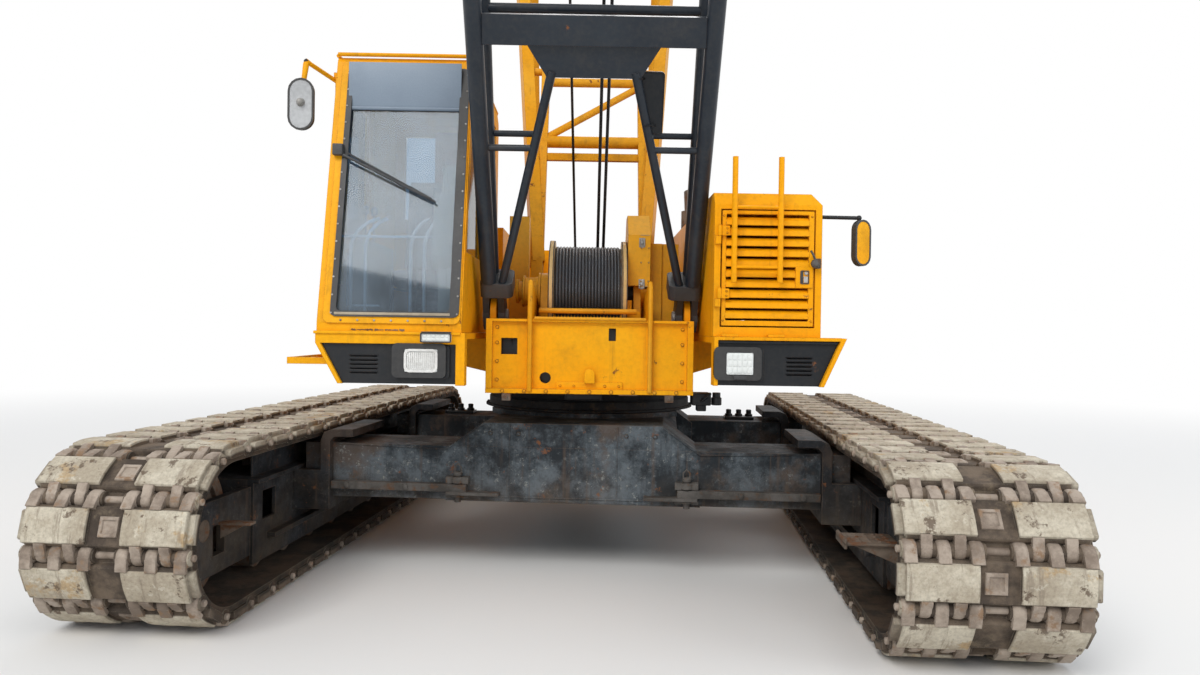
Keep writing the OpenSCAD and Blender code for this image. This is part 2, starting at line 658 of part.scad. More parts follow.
// Machinery house right of the boom, hollow behind its doors, with bevelled roof edges
module house_right() color(yellow) difference() {
    front_profile(house_y, rear_y, [[house_in, deck_z + seat_gap], [house_side, deck_z + seat_gap],
        [house_side, house_top - 75], [house_side - 55, house_top], [house_in, house_top]]);
    front_profile(house_y + wall, rear_y - wall, [[house_in + wall, deck_z + wall],
        [house_side - wall, deck_z + wall], [house_side - wall, house_top - 75],
        [house_side - 75, house_top - wall], [house_in + wall, house_top - wall]]);
    // Front bevel
    side_profile(0, 2000, [
        [house_y - 1, house_top - 78],
        [house_y - 1, house_top + 1],
        [house_y + 60, house_top + 1]]);
    block(house_in + 40, house_side - 40, house_y - 10, house_y + wall + 10, deck_z + 60, house_top - 105);
    for (k = [0, 2])
        block(house_side - wall - 10, house_side + 10, side_door[k], side_door[k + 1], door_z[0],
            door_z[1]);
}

function louvre_z(i) = deck_z + 128 + i * (house_top - 305 - deck_z) / 12;

// Front door with its louvres; the latch sits in a plain panel
module house_door() color(yellow) difference() {
    x0 = house_in + 40 + clear;
    x1 = house_side - 40 - clear;
    union() {
        difference() {
            block(x0, x1, house_y, house_y + 30, deck_z + 60 + clear, house_top - 105 - clear);
            block(x0 + 50, x1 - 50, house_y - 1, house_y + 31, deck_z + 130, house_top - 175);
        }
        for (i = [0 : 11]) {
            z = louvre_z(i);
            side_profile(x0 + 49, x1 - 49, [[house_y - 6, z], [house_y - 2, z], [house_y + 28, z + 44],
                [house_y + 24, z + 44]]);
        }
        block(x1 - 110, x1 - 20, house_y - 4, house_y + 26, 1950, 2100);
        for (z = door_hinges)
            hinge_barrel(front_hinge[0], front_hinge[1], z) {
                block(front_hinge[0], x0 + 44, front_hinge[1] - 4, front_hinge[1] + 13, z + 52, z + 112);
                block(x0 + 4, x0 + 44, front_hinge[1], house_y + 1, z + 52, z + 112);
            }
    }
    block(x1 - 85, x1 - 40, house_y - 5, house_y + 12, 1975, 2065);
}

// Right-hand side doors
module side_door_leaf(k) {
    block(house_side - wall + clear, house_side, side_door[k] + clear, side_door[k + 1] - clear,
        door_z[0] + clear, door_z[1] - clear);
    y = side_door[k] - hinge_back;
    for (z = door_hinges)
        hinge_barrel(house_side + hinge_out, y, z) {
            block(house_side + 4, house_side + hinge_out + 4, y, y + 70, z + 52, z + 112);
            block(house_side - 1, house_side + 5, y + 20, y + 70, z + 52, z + 112);
        }
}

module side_door_front() color(yellow) side_door_leaf(0);
module side_door_rear() color(yellow) side_door_leaf(2);

// House behind the cab with the fuel tank
module house_left() color(yellow) difference() {
    block(-left_side, -house_in, 320, rear_y, deck_z + seat_gap, house_top);
    block(-left_side + wall, -house_in - wall, 320 + wall, rear_y - wall, deck_z + wall, house_top - wall);
    block(-left_side - 10, -left_side + wall + 10, left_door[0], left_door[1], door_z[0], door_z[1]);
    // Bevel of the outer roof edge
    front_profile(300, rear_y + 10, [[-left_side - 1, house_top - 76], [-left_side - 1, house_top + 1],
        [-left_side + 56, house_top + 1]]);
}

module house_left_door() color(yellow) {
    block(-left_side, -left_side + wall - clear, left_door[0] + clear, left_door[1] - clear,
        door_z[0] + clear, door_z[1] - clear);
    y = left_door[0] - hinge_back;
    for (z = door_hinges)
        hinge_barrel(-left_side - hinge_out, y, z) {
            block(-left_side - hinge_out - 4, -left_side - 4, y, y + 70, z + 52, z + 112);
            block(-left_side - 5, -left_side + 1, y + 20, y + 70, z + 52, z + 112);
        }
}

module house_hinges() color(steel)
    for (z = door_hinges) {
        hinge_pin(front_hinge[0], front_hinge[1], z);
        block(house_in + 5, front_hinge[0], front_hinge[1] - 4, house_y - seat_gap, z, z + 50);
        for (k = [0, 2]) {
            y = side_door[k] - hinge_back;
            hinge_pin(house_side + hinge_out, y, z);
            block(house_side + seat_gap, house_side + hinge_out + 4, y - 32, y, z, z + 50);
        }
        hinge_pin(-left_side - hinge_out, left_door[0] - hinge_back, z);
        block(-left_side - hinge_out - 4, -left_side - seat_gap, left_door[0] - hinge_back - 32,
            left_door[0] - hinge_back, z, z + 50);
    }

// Two upright grab tubes with rungs on the front door
module grab_rails() color(yellow) {
    y = house_y - 60;
    for (x = [857, 1134]) {
        rod([x, y, louvre_z(5) - 40], [x, y, 2680], 17);
        rod([x, y, louvre_z(5) + 4], [x, house_y - 6 - seat_gap, louvre_z(5) + 4], 12);
        rod([x, y, house_top - 145], [x, house_y - seat_gap, house_top - 145], 12);
    }
    for (z = [2020, 2380]) rod([857, y, z], [1134, y, z], 9);
}

module mirrors() color(black) {
    block(-cab_side - 12, -cab_side - seat_gap, cab_y + 375, cab_y + 430, cab_top - 180, cab_top - 122);
    elbow = [[-cab_side - 13, cab_y + 402, cab_top - 150], [-1775, cab_y + 190, cab_top - 88],
        [-1790, cab_y + 176, cab_top - 240]];
    rod(elbow[0], elbow[1], 12);
    rod(elbow[1], elbow[2], 12);
    translate(elbow[1]) sphere(r = 17);
    translate([-1795, cab_y + 187, cab_top - 360]) rotate([90, 0, 0])
        linear_extrude(34) {
            square([150, 160], center = true);
            translate([0, 80]) circle(75);
            translate([0, -80]) circle(75);
        }
    block(house_side + seat_gap, house_side + 14, house_y + 90, house_y + 150, 2310, 2390);
    rod([house_side + 8, house_y + 120, 2350], [1640, house_y + 60, 2340], 12);
    rod([1640, house_y + 60, 2340], [1650, house_y + 50, 2230], 12);
    translate([1640, house_y + 60, 2340]) sphere(r = 17);
    translate([1645, house_y + 60, 2185]) rotate([90, 0, 25]) linear_extrude(30) {
        square([110, 160], center = true);
        translate([0, 80]) circle(55);
        translate([0, -80]) circle(55);
    }
}

// Winches: shaft place in Y and Z, rope radius, flange radius, left and right ends of the rope
drums = [
    [-800, 1900, 310, 360, -254, 214],
    [750, 1960, 310, 360, -254, 214],
    [1850, 1960, 240, 290, -254, 214]
];
stand_x = [-350, 300];
shaft = 55;

// Stands of the three winches; the front one has its gear cover on the right
module winch_stands() color(yellow)
    for (d = drums) for (x = stand_x)
        difference() {
            union() {
                side_profile(x, x + 50, [[d[0] - 240, floor_z], [d[0] + 240, floor_z],
                    [d[0] + 130, d[1]], [d[0] - 130, d[1]]]);
                bar_x(x, x + 50, d[0], d[1], 130);
                if (d[0] < 0 && x > 0)
                    side_profile(d[5] + 41, 410, [[d[0] - 210, 1940], [d[0] + 300, 1940],
                        [d[0] + 300, 2300],
                        [d[0] + 180, 2447], [d[0] - 20, 2447], [d[0] - 210, 2290]]);
            }
            bar_x(x - 60, x + 51, d[0], d[1], shaft + run_gap);
        }

// Valve and gear boxes beside the front winch
module winch_covers() color(yellow) {
    block(420, 500, -880, -420, floor_z, 2245);
    block(500, half_w - web - 12, -860, -420, floor_z, 2245);
    side_profile(12 + web - half_w, -470, [[-480, floor_z], [-420, floor_z], [-280, 2480], [-440, 2480]]);
}

module drum(d) {
    bar_x(d[4], d[5], d[0], d[1], d[2]);
    bar_x(d[4] - 35, d[4], d[0], d[1], d[3]);
    bar_x(d[5], d[5] + 35, d[0], d[1], d[3]);
    bar_x(stand_x[0] - 6, stand_x[1] + 45, d[0], d[1], shaft);
}

module front_drum() color(rope) drum(drums[0]);
module rear_drum() color(rope) drum(drums[1]);
module luffing_drum() color(rope) drum(drums[2]);

// Gantry

module gantry_legs() color(yellow) {
    knee = 2150;
    both() {
        beam([leg_foot_x, g_foot[0], g_foot[1]], [leg_foot_x, gantry_y(knee + 30), knee + 30], 150, 92);
        beam([leg_foot_x, gantry_y(knee), knee], [leg_head_x, g_head[0], g_head[1]], 146, 100);
        beam([leg_foot_x - 12, gantry_y(knee), knee], [leg_foot_x - 12, gantry_y(3950), 3950], 90, 70);
        bar_x(leg_foot_x - 50, leg_foot_x + 50, g_foot[0], g_foot[1], 100);
        bar_x(leg_foot_x - 90, leg_foot_x + 90, g_foot[0], g_foot[1], gantry_pin_r);
        bar_x(leg_foot_x - 12, leg_foot_x + 150, gantry_y(3900), 3900, 32);
        // Head: stub to the sheave cheek
        bar_x(320, leg_head_x + 70, g_head[0], g_head[1], head_tube_r);
        difference() {
            side_profile(320, 345, [[g_head[0] - 110, g_head[1] - 110],
                [g_sheave[0] - 20, g_sheave[1] - 400],
                [g_sheave[0] + 130, g_sheave[1] - 400], [g_sheave[0] + 90, g_sheave[1] + 90],
                [g_head[0] + 60, g_head[1] + 110], [g_head[0] - 110, g_head[1] + 110]]);
            bar_x(300, 400, g_sheave[0], g_sheave[1], gantry_shaft_r + seat_gap);
        }
    }
    bar_x(-330, 330, g_sheave[0] + 60, g_sheave[1] - 340, 45);
    for (p = [[3230, 50], [3800, 38]])
        bar_x(12 - leg_foot_x, leg_foot_x - 12, gantry_y(p[0]), p[0], p[1]);
    block(12 - leg_foot_x, leg_foot_x - 12, gantry_y(3090) - 30, gantry_y(3090) + 30, 3060, 3120);
    rod([20 - leg_foot_x, gantry_y(3260), 3260], [leg_foot_x - 20, gantry_y(3770), 3770], 30);
    for (z = [4450, 5050]) {
        x = leg_foot_x + (leg_head_x - leg_foot_x) * (z - knee) / (g_head[1] - knee);
        bar_x(-x, x, gantry_y(z), z, 45);
    }
}

module gantry_struts() color(yellow)
    both() difference() {
        union() {
            rod([strut_x, g_head[0], g_head[1]], [strut_x, strut_foot[0], strut_foot[1]], 42);
            bar_x(strut_x - 45, strut_x + 45, g_head[0], g_head[1], 100);
            bar_x(strut_x - 45, strut_x + 45, strut_foot[0], strut_foot[1], 85);
        }
        bar_x(strut_x - 60, strut_x + 60, g_head[0], g_head[1], head_tube_r + seat_gap);
        bar_x(strut_x - 60, strut_x + 60, strut_foot[0], strut_foot[1], gantry_pin_r + seat_gap);
    }

module sheave(x, p, r, half)
    difference() {
        bar_x(x - half, x + half, p[0], p[1], r);
        for (s = [-1, 1]) translate([x + s * half, p[0], p[1]]) rotate([0, 90, 0]) difference() {
            cylinder(h = half, r = r * 0.86, center = true);
            cylinder(h = half + 2, r = r * 0.34, center = true);
        }
    }

module gantry_shaft() color(steel)
    bar_x(-360, 360, g_sheave[0], g_sheave[1], gantry_shaft_r);

module gantry_sheaves() color(rust) difference() {
    for (x = fall_sheaves) sheave(x, g_sheave, gantry_sheave_r, 24);
    bar_x(-400, 400, g_sheave[0], g_sheave[1], gantry_shaft_r + run_gap);
}

// Strand of the luffing rope beside the line from the gantry sheaves to the bridle
module strand(x, side) {
    a = g_sheave + side * stay_up * (gantry_sheave_r + fall_r + seat_gap);
    b = bridle_pin + side * stay_up * (bridle_sheave_r + fall_r + seat_gap);
    rod([x, a[0], a[1]], [x, b[0], b[1]], fall_r);
}

// Lower strands, which swing about the gantry sheaves, with the beckets of the outer two
module luffing_falls() color(rope) {
    for (x = fall_sheaves) strand(x, -1);
    both() {
        strand(becket_x, -1);
        difference() {
            union() {
                bar_x(becket_x - 11, becket_x + 11, g_sheave[0], g_sheave[1], 75);
                translate([becket_x - 11, g_sheave[0], g_sheave[1]]) rotate([0, 0, 90]) rotate([90, 0, 0])
                    linear_extrude(22) rotate(atan2(-stay_up[1], -stay_up[0]))
                        translate([0, -32]) square([gantry_sheave_r + 24, 64]);
            }
            bar_x(becket_x - 20, becket_x + 20, g_sheave[0], g_sheave[1], gantry_shaft_r + run_gap);
        }
    }
}

// Upper strands, which swing with the bridle
module bridle_falls() color(rope)
    for (x = fall_sheaves) strand(x, 1);

// Boom

function base_v(w) = 60 + (half_b - 60) * w / joint_at;
function taper(w, half, end) = half + (end - half) * max(0, w - tip_start) / (head_w - tip_start);
function tip_v(w) = taper(w, half_b, head_half);
function tip_x(w) = taper(w, half_b, head_x);

// Collars on the foot lugs, one pair of lugs astride each bracket of the frame
module boom_foot() color(black) in_boom() both() difference() {
    union() {
        translate([collar_x[0], -125, collar_w[0]]) linear_extrude(collar_w[1] - collar_w[0]) union() {
            w = collar_x[1] - collar_x[0];
            translate([45, 0]) square([w - 90, 250]);
            translate([0, 45]) square([w, 160]);
            for (x = [45, w - 45], y = [45, 205]) translate([x, y]) circle(45);
        }
        for (x = [half_w - web - clear - 45, half_w + clear]) {
            block(x, x + 45, -80, 80, 0, collar_w[0] + 1);
            bar_x(x, x + 45, 0, 0, 100);
        }
    }
    bar_x(0, 900, 0, 0, foot_pin_r + run_gap);
}

module base_chord(s, f, extra)
    rod([s * half_b, f * base_v(collar_w[1] - 60), collar_w[1] - 60],
        [s * half_b, f * base_v(joint_at), joint_at], chord_r + extra);

module joint_lug(s, f, w0, w1)
    block(s * half_b - 62, s * half_b + 62, f * half_b - 62, f * half_b + 62, w0, w1);

module boom_base_chords() color(black) in_boom()
    for (s = [-1, 1], f = [-1, 1]) {
        difference() {
            base_chord(s, f, 0);
            block(-900, 900, -900, 900, 0, collar_w[1] + seat_gap);
            block(-900, 900, -900, 900, joint_at - 100, joint_at + 200);
        }
        joint_lug(s, f, joint_at - 170, joint_at - seat_gap / 2);
    }

// One tube between two chords of the base section, cut to them
module base_lace(a, b, r, pairs) difference() {
    rod(a, b, r);
    for (p = pairs) base_chord(p[0], p[1], seat_gap);
}

base_bays = 6;
base_from = 2180;
base_to = joint_at - 330;
module boom_base_lacing() color(black) in_boom() {
    step = (base_to - base_from) / base_bays;
    off = lacing * 0.95;
    for (i = [0 : base_bays - 1]) {
        w0 = base_from + i * step + off;
        w1 = base_from + (i + 1) * step - off;
        s = i % 2 == 0 ? 1 : -1;
        for (f = [-1, 1])
            base_lace([s * half_b, f * base_v(w0), w0], [-s * half_b, f * base_v(w1), w1], lace_r,
                [[1, f], [-1, f]]);
        for (q = [-1, 1])
            base_lace([q * half_b, s * base_v(w0), w0], [q * half_b, -s * base_v(w1), w1], lace_r,
                [[q, 1], [q, -1]]);
    }
    for (f = [-1, 1]) {
        w = base_to + 70;
        base_lace([-half_b, f * base_v(w), w], [half_b, f * base_v(w), w], lace_r, [[1, f], [-1, f]]);
        base_lace([f * half_b, -base_v(w), w], [f * half_b, base_v(w), w], lace_r, [[f, 1], [f, -1]]);
    }
}

// Panel, gusset and spread legs over the boom foot, front and rear
module boom_foot_frame() color(black) in_boom() difference() {
    wide = half_b - chord_r;
    low = 285;
    f0 = base_v(1900);
    union() {
        block(-half_b, half_b, -f0 - 22, -f0 + 22, panel_w[0], panel_w[1]);
        rod([-half_b, f0, 1960], [half_b, f0, 1960], 30);
        for (f = [-1, 1]) {
            translate([0, f * base_v(1740) + 6, 0]) rotate([90, 0, 0]) linear_extrude(12)
                polygon([[-270, 1645], [270, 1645], [382, panel_w[0] + 2], [-382, panel_w[0] + 2]]);
            both() {
                rod([half_b - 90, f * base_v(low), low], [240, f * base_v(1680), 1680], 27);
                rod([half_b, f * base_v(1216), 1216], [half_b - 330, f * base_v(1216), 1216], 20);
            }
        }
        both() for (f = [-1, 1]) rod([half_b, -base_v(1900), 1900], [half_b, base_v(1900), 1900], 26);
    }
    for (s = [-1, 1], f = [-1, 1]) base_chord(s, f, seat_gap);
    block(-900, 900, -400, 400, 0, collar_w[1] + seat_gap);
}

module tip_chord(s, f, extra) {
    rod([s * half_b, f * half_b, joint_at], [s * half_b, f * half_b, tip_start - 30], chord_r + extra);
    rod([s * tip_x(tip_start + 30), f * tip_v(tip_start + 30), tip_start + 30],
        [s * tip_x(head_w + 60), f * tip_v(head_w + 60), head_w + 60], chord_r + extra);
}

module boom_tip_chords() color(black) in_boom()
    for (s = [-1, 1], f = [-1, 1]) {
        difference() {
            union() {
                tip_chord(s, f, 0);
                rod([s * half_b, f * half_b, tip_start - 90], [s * half_b, f * half_b, tip_start + 90],
                    chord_r + 12);
            }
            block(-900, 900, -900, 900, joint_at - 50, joint_at + 100);
            block(-900, 900, -900, 900, head_w - seat_gap, head_w + 200);
        }
        joint_lug(s, f, joint_at + seat_gap / 2, joint_at + 170);
    }

module tip_lace(a, b, r, pairs) difference() {
    rod(a, b, r);
    for (p = pairs) tip_chord(p[0], p[1], seat_gap);
}

tip_bays = 8;
tip_from = joint_at + 620;
tip_to = boom_length - 1500;
module boom_tip_lacing() color(black) in_boom() {
    step = (tip_to - tip_from) / tip_bays;
    off = lacing * 0.95;
    for (i = [0 : tip_bays - 1]) {
        w0 = tip_from + i * step + off;
        w1 = tip_from + (i + 1) * step - off;
        s = i % 2 == 0 ? 1 : -1;
        for (f = [-1, 1])
            tip_lace([s * tip_x(w0), f * tip_v(w0), w0], [-s * tip_x(w1), f * tip_v(w1), w1], lace_r - 3,
                [[1, f], [-1, f]]);
        for (q = [-1, 1])
            tip_lace([q * tip_x(w0), s * tip_v(w0), w0], [q * tip_x(w1), -s * tip_v(w1), w1], lace_r - 3,
                [[q, 1], [q, -1]]);
    }
    for (w = [joint_at + 300, boom_length - 700])
        for (f = [-1, 1]) {
            // None in front under the head, where the hook's falls pass
            if (w < tip_start || f > 0)
                tip_lace([-tip_x(w), f * tip_v(w), w], [tip_x(w), f * tip_v(w), w],
                    lace_r - 3, [[1, f], [-1, f]]);
            tip_lace([f * tip_x(w), -tip_v(w), w], [f * tip_x(w), tip_v(w), w], lace_r - 3,
                [[f, 1], [f, -1]]);
        }
}

// Head plate, cheeks of the sheaves and lugs of the stays
module boom_head() color(black) in_boom() difference() {
    union() {
        block(-head_x - 70, head_x + 70, -head_half - 70, head_half + 70, head_w, head_w + 45);
        both() {
            side_profile(300, 335, [[-640, boom_length - 110], [-head_half - 70, head_w + 1],
                [head_half + 60, head_w + 1], [head_half + 60, boom_length - 60],
                [-100, boom_length + 130], [-640, boom_length + 130]]);
            for (x = [stay_x - 37, stay_x + 13])
                side_profile(x, x + 24, [[head_half, head_w + 1], [stay_at[0] + 60, stay_at[1] - 60],
                    [stay_at[0] + 60, stay_at[1] + 60], [head_half, stay_at[1] + 60]]);
            bar_x(stay_x - 45, stay_x + 45, stay_at[0], stay_at[1], stay_pin_r);
        }
        bar_x(-320, 320, head_half, boom_length - 130, 45);
    }
    // Way for the hook's rope falls
    block(-260, 260, -400, -150, head_w - 1, head_w + 50);
    bar_x(-400, 400, head_sheave[0], head_sheave[1], shaft_r + run_gap);
}

module head_sheaves() color(rust) in_boom() {
    for (x = [-225, -75, 75, 225]) sheave(x, head_sheave, sheave_r, 30);
    bar_x(-336, 336, head_sheave[0], head_sheave[1], shaft_r);
}

module pendants() color(rope)
    both() difference() {
        a = on_stay(20);
        b = bridle_pin - stay_dir * 20;
        union() {
            rod([stay_x, a[0], a[1]], [stay_x, b[0], b[1]], 12.2);
            bar_x(stay_x - 12.5, stay_x + 12.5, stay_pin[0], stay_pin[1], 60);
            bar_x(stay_x - 12.5, stay_x + 12.5, bridle_pin[0], bridle_pin[1], 75);
        }
        bar_x(0, 400, stay_pin[0], stay_pin[1], stay_pin_r + run_gap);
        bar_x(0, 400, bridle_pin[0], bridle_pin[1], 40 + seat_gap);
    }

module bridle() color(rust) {
    for (x = fall_sheaves) sheave(x, bridle_pin, bridle_sheave_r, 24);
    bar_x(-372, 372, bridle_pin[0], bridle_pin[1], 40);
}

// Hook block on its rope falls
module hook_block() color(rust) {
    y = sheave_at[0];
    z = sheave_at[1] - hook_drop;
    for (x = [-75, 75]) sheave(x, [y, z], 300, 30);
    bar_x(-160, 160, y, z, 50);
    both() {
        side_profile(125, 150, [[y - 120, z - 600], [y + 120, z - 600], [y + 240, z - 250],
            [y + 200, z + 180], [y - 200, z + 180], [y - 240, z - 250]]);
        block(-1, 126, y - 90, y + 90, z - 590, z - 470);
    }
    translate([0, y, z - 760]) cylinder(h = 200, r = 62);
    // Hook
    translate([0, y, z - 900]) rotate([90, 0, 0])
        rotate_extrude(angle = 250) translate([130, 0]) circle(48, $fn = 24);
    block(-50, 50, y - 45, y + 45, z - 820, z - 740);
}

module hook_ropes() color(rope)
    for (x = [-75, 75], s = [-1, 1]) {
        y = sheave_at[0] + s * (sheave_r + 11 + seat_gap);
        rod([x, y, sheave_at[1] - hook_drop], [x, y, sheave_at[1]], 11);
    }

car_body();
slew_ring();
lock_links();
side_frames();
saddles();
left_track();
right_track();
idlers();
sprockets();
rollers();
drives();
slew_ring_upper();
revolving_frame();
frame_pins();
counterweight();
engine();
exhaust();
cab_shell();
cab_glass();
cab_door();
cab_door_glass();
cab_seat();
cab_console();
cab_steps();
aprons();
headlamps();
house_right();
house_door();
side_door_front();
side_door_rear();
house_left();
house_left_door();
house_hinges();
grab_rails();
mirrors();
winch_stands();
winch_covers();
front_drum();
rear_drum();
luffing_drum();
gantry_legs();
gantry_struts();
gantry_shaft();
gantry_sheaves();
luffing_falls();
boom_foot();
boom_base_chords();
boom_base_lacing();
boom_foot_frame();
boom_tip_chords();
boom_tip_lacing();
boom_head();
head_sheaves();
pendants();
bridle();
bridle_falls();
hook_block();
hook_ropes();
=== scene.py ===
import bpy
import bmesh
import random
from math import cos, exp, pi, radians, sin
from mathutils import Matrix, Vector


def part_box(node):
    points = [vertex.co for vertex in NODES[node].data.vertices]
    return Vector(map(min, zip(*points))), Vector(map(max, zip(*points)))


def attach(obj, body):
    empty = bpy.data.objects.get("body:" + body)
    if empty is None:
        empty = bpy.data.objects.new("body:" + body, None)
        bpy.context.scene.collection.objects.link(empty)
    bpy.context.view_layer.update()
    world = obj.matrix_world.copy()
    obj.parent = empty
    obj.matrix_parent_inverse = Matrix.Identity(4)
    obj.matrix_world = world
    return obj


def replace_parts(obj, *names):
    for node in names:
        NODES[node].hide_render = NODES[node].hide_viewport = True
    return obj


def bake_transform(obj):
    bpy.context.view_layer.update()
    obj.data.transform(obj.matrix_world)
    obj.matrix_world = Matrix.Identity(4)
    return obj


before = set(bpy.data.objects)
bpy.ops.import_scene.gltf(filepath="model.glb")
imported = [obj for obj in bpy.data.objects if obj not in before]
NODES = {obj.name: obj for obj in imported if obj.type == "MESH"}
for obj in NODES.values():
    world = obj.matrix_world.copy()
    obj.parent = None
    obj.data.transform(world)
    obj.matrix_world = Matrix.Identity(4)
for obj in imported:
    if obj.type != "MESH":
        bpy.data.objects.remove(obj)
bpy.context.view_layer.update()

random.seed(7)
scene = bpy.context.scene


def put(name, data):
    """A new object of some data in the scene."""
    o = bpy.data.objects.new(name, data)
    scene.collection.objects.link(o)
    return o


# Camera, solved from the photograph: it stands in front of the crane at eye level
PHOTO_WIDTH, FOCAL_LENGTH, SENSOR = 1200, 867, 36.0
CAMERA_AT = (0, -7.0, 1.63)
YAW, PITCH_DOWN, ROLL = radians(-0.66), radians(0.4956), radians(0.83)
cam = put("camera", bpy.data.cameras.new("camera"))
cam.data.sensor_width = SENSOR
cam.data.lens = SENSOR * FOCAL_LENGTH / PHOTO_WIDTH
cam.data.clip_start = 0.05
cam.data.clip_end = 400
cam.matrix_world = (Matrix.Translation(CAMERA_AT) @ Matrix.Rotation(YAW, 4, "Z")
                    @ Matrix.Rotation(pi / 2 - PITCH_DOWN, 4, "X") @ Matrix.Rotation(ROLL, 4, "Z"))
scene.camera = cam

# Sizes shared with the CAD, in metres
SLEW = radians(-5)
TRACK_X, WHEEL_R, SPAN, PIN_R = 2.157, 0.495, 2.405, 0.433
FOOT = Vector((0, -1.05, 1.72))
TILT = radians(62)


# Node trees
def mix_shader(tree, fac, first, second):
    """A mix of two shaders, first where fac is 0."""
    n = tree.nodes.new("ShaderNodeMixShader")
    for socket, link in zip(n.inputs, (fac, first, second)):
        tree.links.new(link, socket)
    return n.outputs[0]


class Mat:
    """Small helper around a node tree; coordinates are the object's own, in metres."""
    def __init__(self, name, **sockets):
        self.m = bpy.data.materials.new(name)
        self.m.use_nodes = True
        self.t = self.m.node_tree
        self.b = self.t.nodes["Principled BSDF"]
        self.co = self.t.nodes.new("ShaderNodeTexCoord").outputs["Object"]
        for k, v in sockets.items():
            self.b.inputs[k.replace("_", " ")].default_value = v

    def feed(self, socket, value):
        """Links a socket to an output, or gives it a value."""
        if hasattr(value, "is_output"):
            self.t.links.new(value, socket)
        else:
            socket.default_value = value

    def node(self, kind, **inputs):
        n = self.t.nodes.new(kind)
        for k, v in inputs.items():
            self.feed(n.inputs[k.replace("_", " ")], v)
        return n

    def at(self, scale, turn=(0, 0, 0), move=(0, 0, 0)):
        return self.node("ShaderNodeMapping", Vector=self.co, Scale=scale, Rotation=turn,
                         Location=move).outputs[0]

    def noise(self, scale, detail=5.0, rough=0.6, stretch=(1, 1, 1), move=(0, 0, 0), distortion=0.0):
        n = self.node("ShaderNodeTexNoise", Vector=self.at(stretch, move=move), Scale=scale, Detail=detail,
                      Roughness=rough, Distortion=distortion)
        return n.outputs["Fac"]

    def mask(self, fac, lo, hi, top=1.0):
        """0 where fac is lo, top where it is hi."""
        n = self.node("ShaderNodeMapRange", Value=fac, From_Min=lo, From_Max=hi, To_Max=top)
        n.interpolation_type = "SMOOTHSTEP"
        return n.outputs[0]

    def mix(self, fac, a, b):
        """Colour a where fac is 0, b where it is 1."""
        n = self.t.nodes.new("ShaderNodeMix")
        n.data_type = "RGBA"
        self.feed(n.inputs[0], fac)
        for socket, v in ((n.inputs[6], a), (n.inputs[7], b)):
            self.feed(socket, v if hasattr(v, "is_output") else (*v, 1))
        return n.outputs[2]

    def op(self, what, a, b=0.0, clamp=False):
        n = self.t.nodes.new("ShaderNodeMath")
        n.operation = what
        n.use_clamp = clamp
        self.feed(n.inputs[0], a)
        self.feed(n.inputs[1], b)
        return n.outputs[0]

    def edges(self, radius):
        """1 on worn edges, and a rounded normal."""
        bev = self.node("ShaderNodeBevel", Radius=radius)
        bev.samples = 4
        dot = self.t.nodes.new("ShaderNodeVectorMath")
        dot.operation = "DOT_PRODUCT"
        self.feed(dot.inputs[0], bev.outputs[0])
        self.feed(dot.inputs[1], self.t.nodes.new("ShaderNodeNewGeometry").outputs["Normal"])
        return self.op("SUBTRACT", 1.0, dot.outputs["Value"], True), bev.outputs[0]

    def height(self, lo, hi):
        """0 at height lo, 1 at height hi."""
        n = self.node("ShaderNodeSeparateXYZ", Vector=self.co)
        return self.mask(n.outputs[2], lo, hi)

    def bump(self, fac, strength, distance, normal=None):
        n = self.node("ShaderNodeBump", Height=fac, Strength=strength, Distance=distance)
        if normal is not None:
            self.feed(n.inputs["Normal"], normal)
        self.feed(self.b.inputs["Normal"], n.outputs[0])

    def set(self, **links):
        for k, v in links.items():
            self.feed(self.b.inputs[k.replace("_", " ")], v)


# Materials
RUST_DARK, RUST_LIGHT = (0.11, 0.038, 0.014), (0.26, 0.1, 0.035)


def paint(name, base, faded, dirt, rust=0.5, streaks=0.5, wear=0.5, rough=0.42, spec=0.22):
    """Old machine paint: faded in patches, streaked by water and chipped to rust at edges."""
    m = Mat(name, Specular_IOR_Level=spec)
    patches = m.mask(m.noise(0.9, 6, 0.62), 0.38, 0.68)
    col = m.mix(m.op("MULTIPLY", patches, 0.75), base, faded)
    fine = m.noise(38, 4, 0.6)
    col = m.mix(m.mask(fine, 0.35, 0.8, 0.18), col, dirt)
    run = m.mask(m.noise(1.0, 7, 0.66, (15, 15, 0.9), distortion=0.3), 0.55, 0.78, streaks)
    col = m.mix(run, col, dirt)
    grime = m.mask(m.noise(2.3, 8, 0.7, move=(3, 1, 2)), 0.52, 0.78, 0.5)
    col = m.mix(grime, col, dirt)
    rusty = m.mix(m.noise(24, 6, 0.7), RUST_DARK, RUST_LIGHT)
    spots = m.mask(m.noise(7.5, 12, 0.74, move=(5, 2, 7)), 0.7 - 0.13 * rust, 0.745 - 0.13 * rust)
    worn, normal = m.edges(0.006)
    chips = m.mask(m.op("ADD", m.op("MULTIPLY", worn, 1.6 * wear), m.noise(30, 8, 0.75)), 0.78, 0.84)
    bad = m.op("MAXIMUM", spots, chips)
    col = m.mix(bad, col, rusty)
    dull = m.op("ADD", m.op("MULTIPLY", bad, 0.5), m.op("MULTIPLY", grime, 0.4))
    m.set(Base_Color=col, Roughness=m.mask(dull, -0.9 * rough / 0.5, 0.9))
    m.bump(m.op("SUBTRACT", m.op("MULTIPLY", fine, 0.25), m.op("MULTIPLY", bad, 0.8)), 0.5, 0.0012, normal)
    return m.m


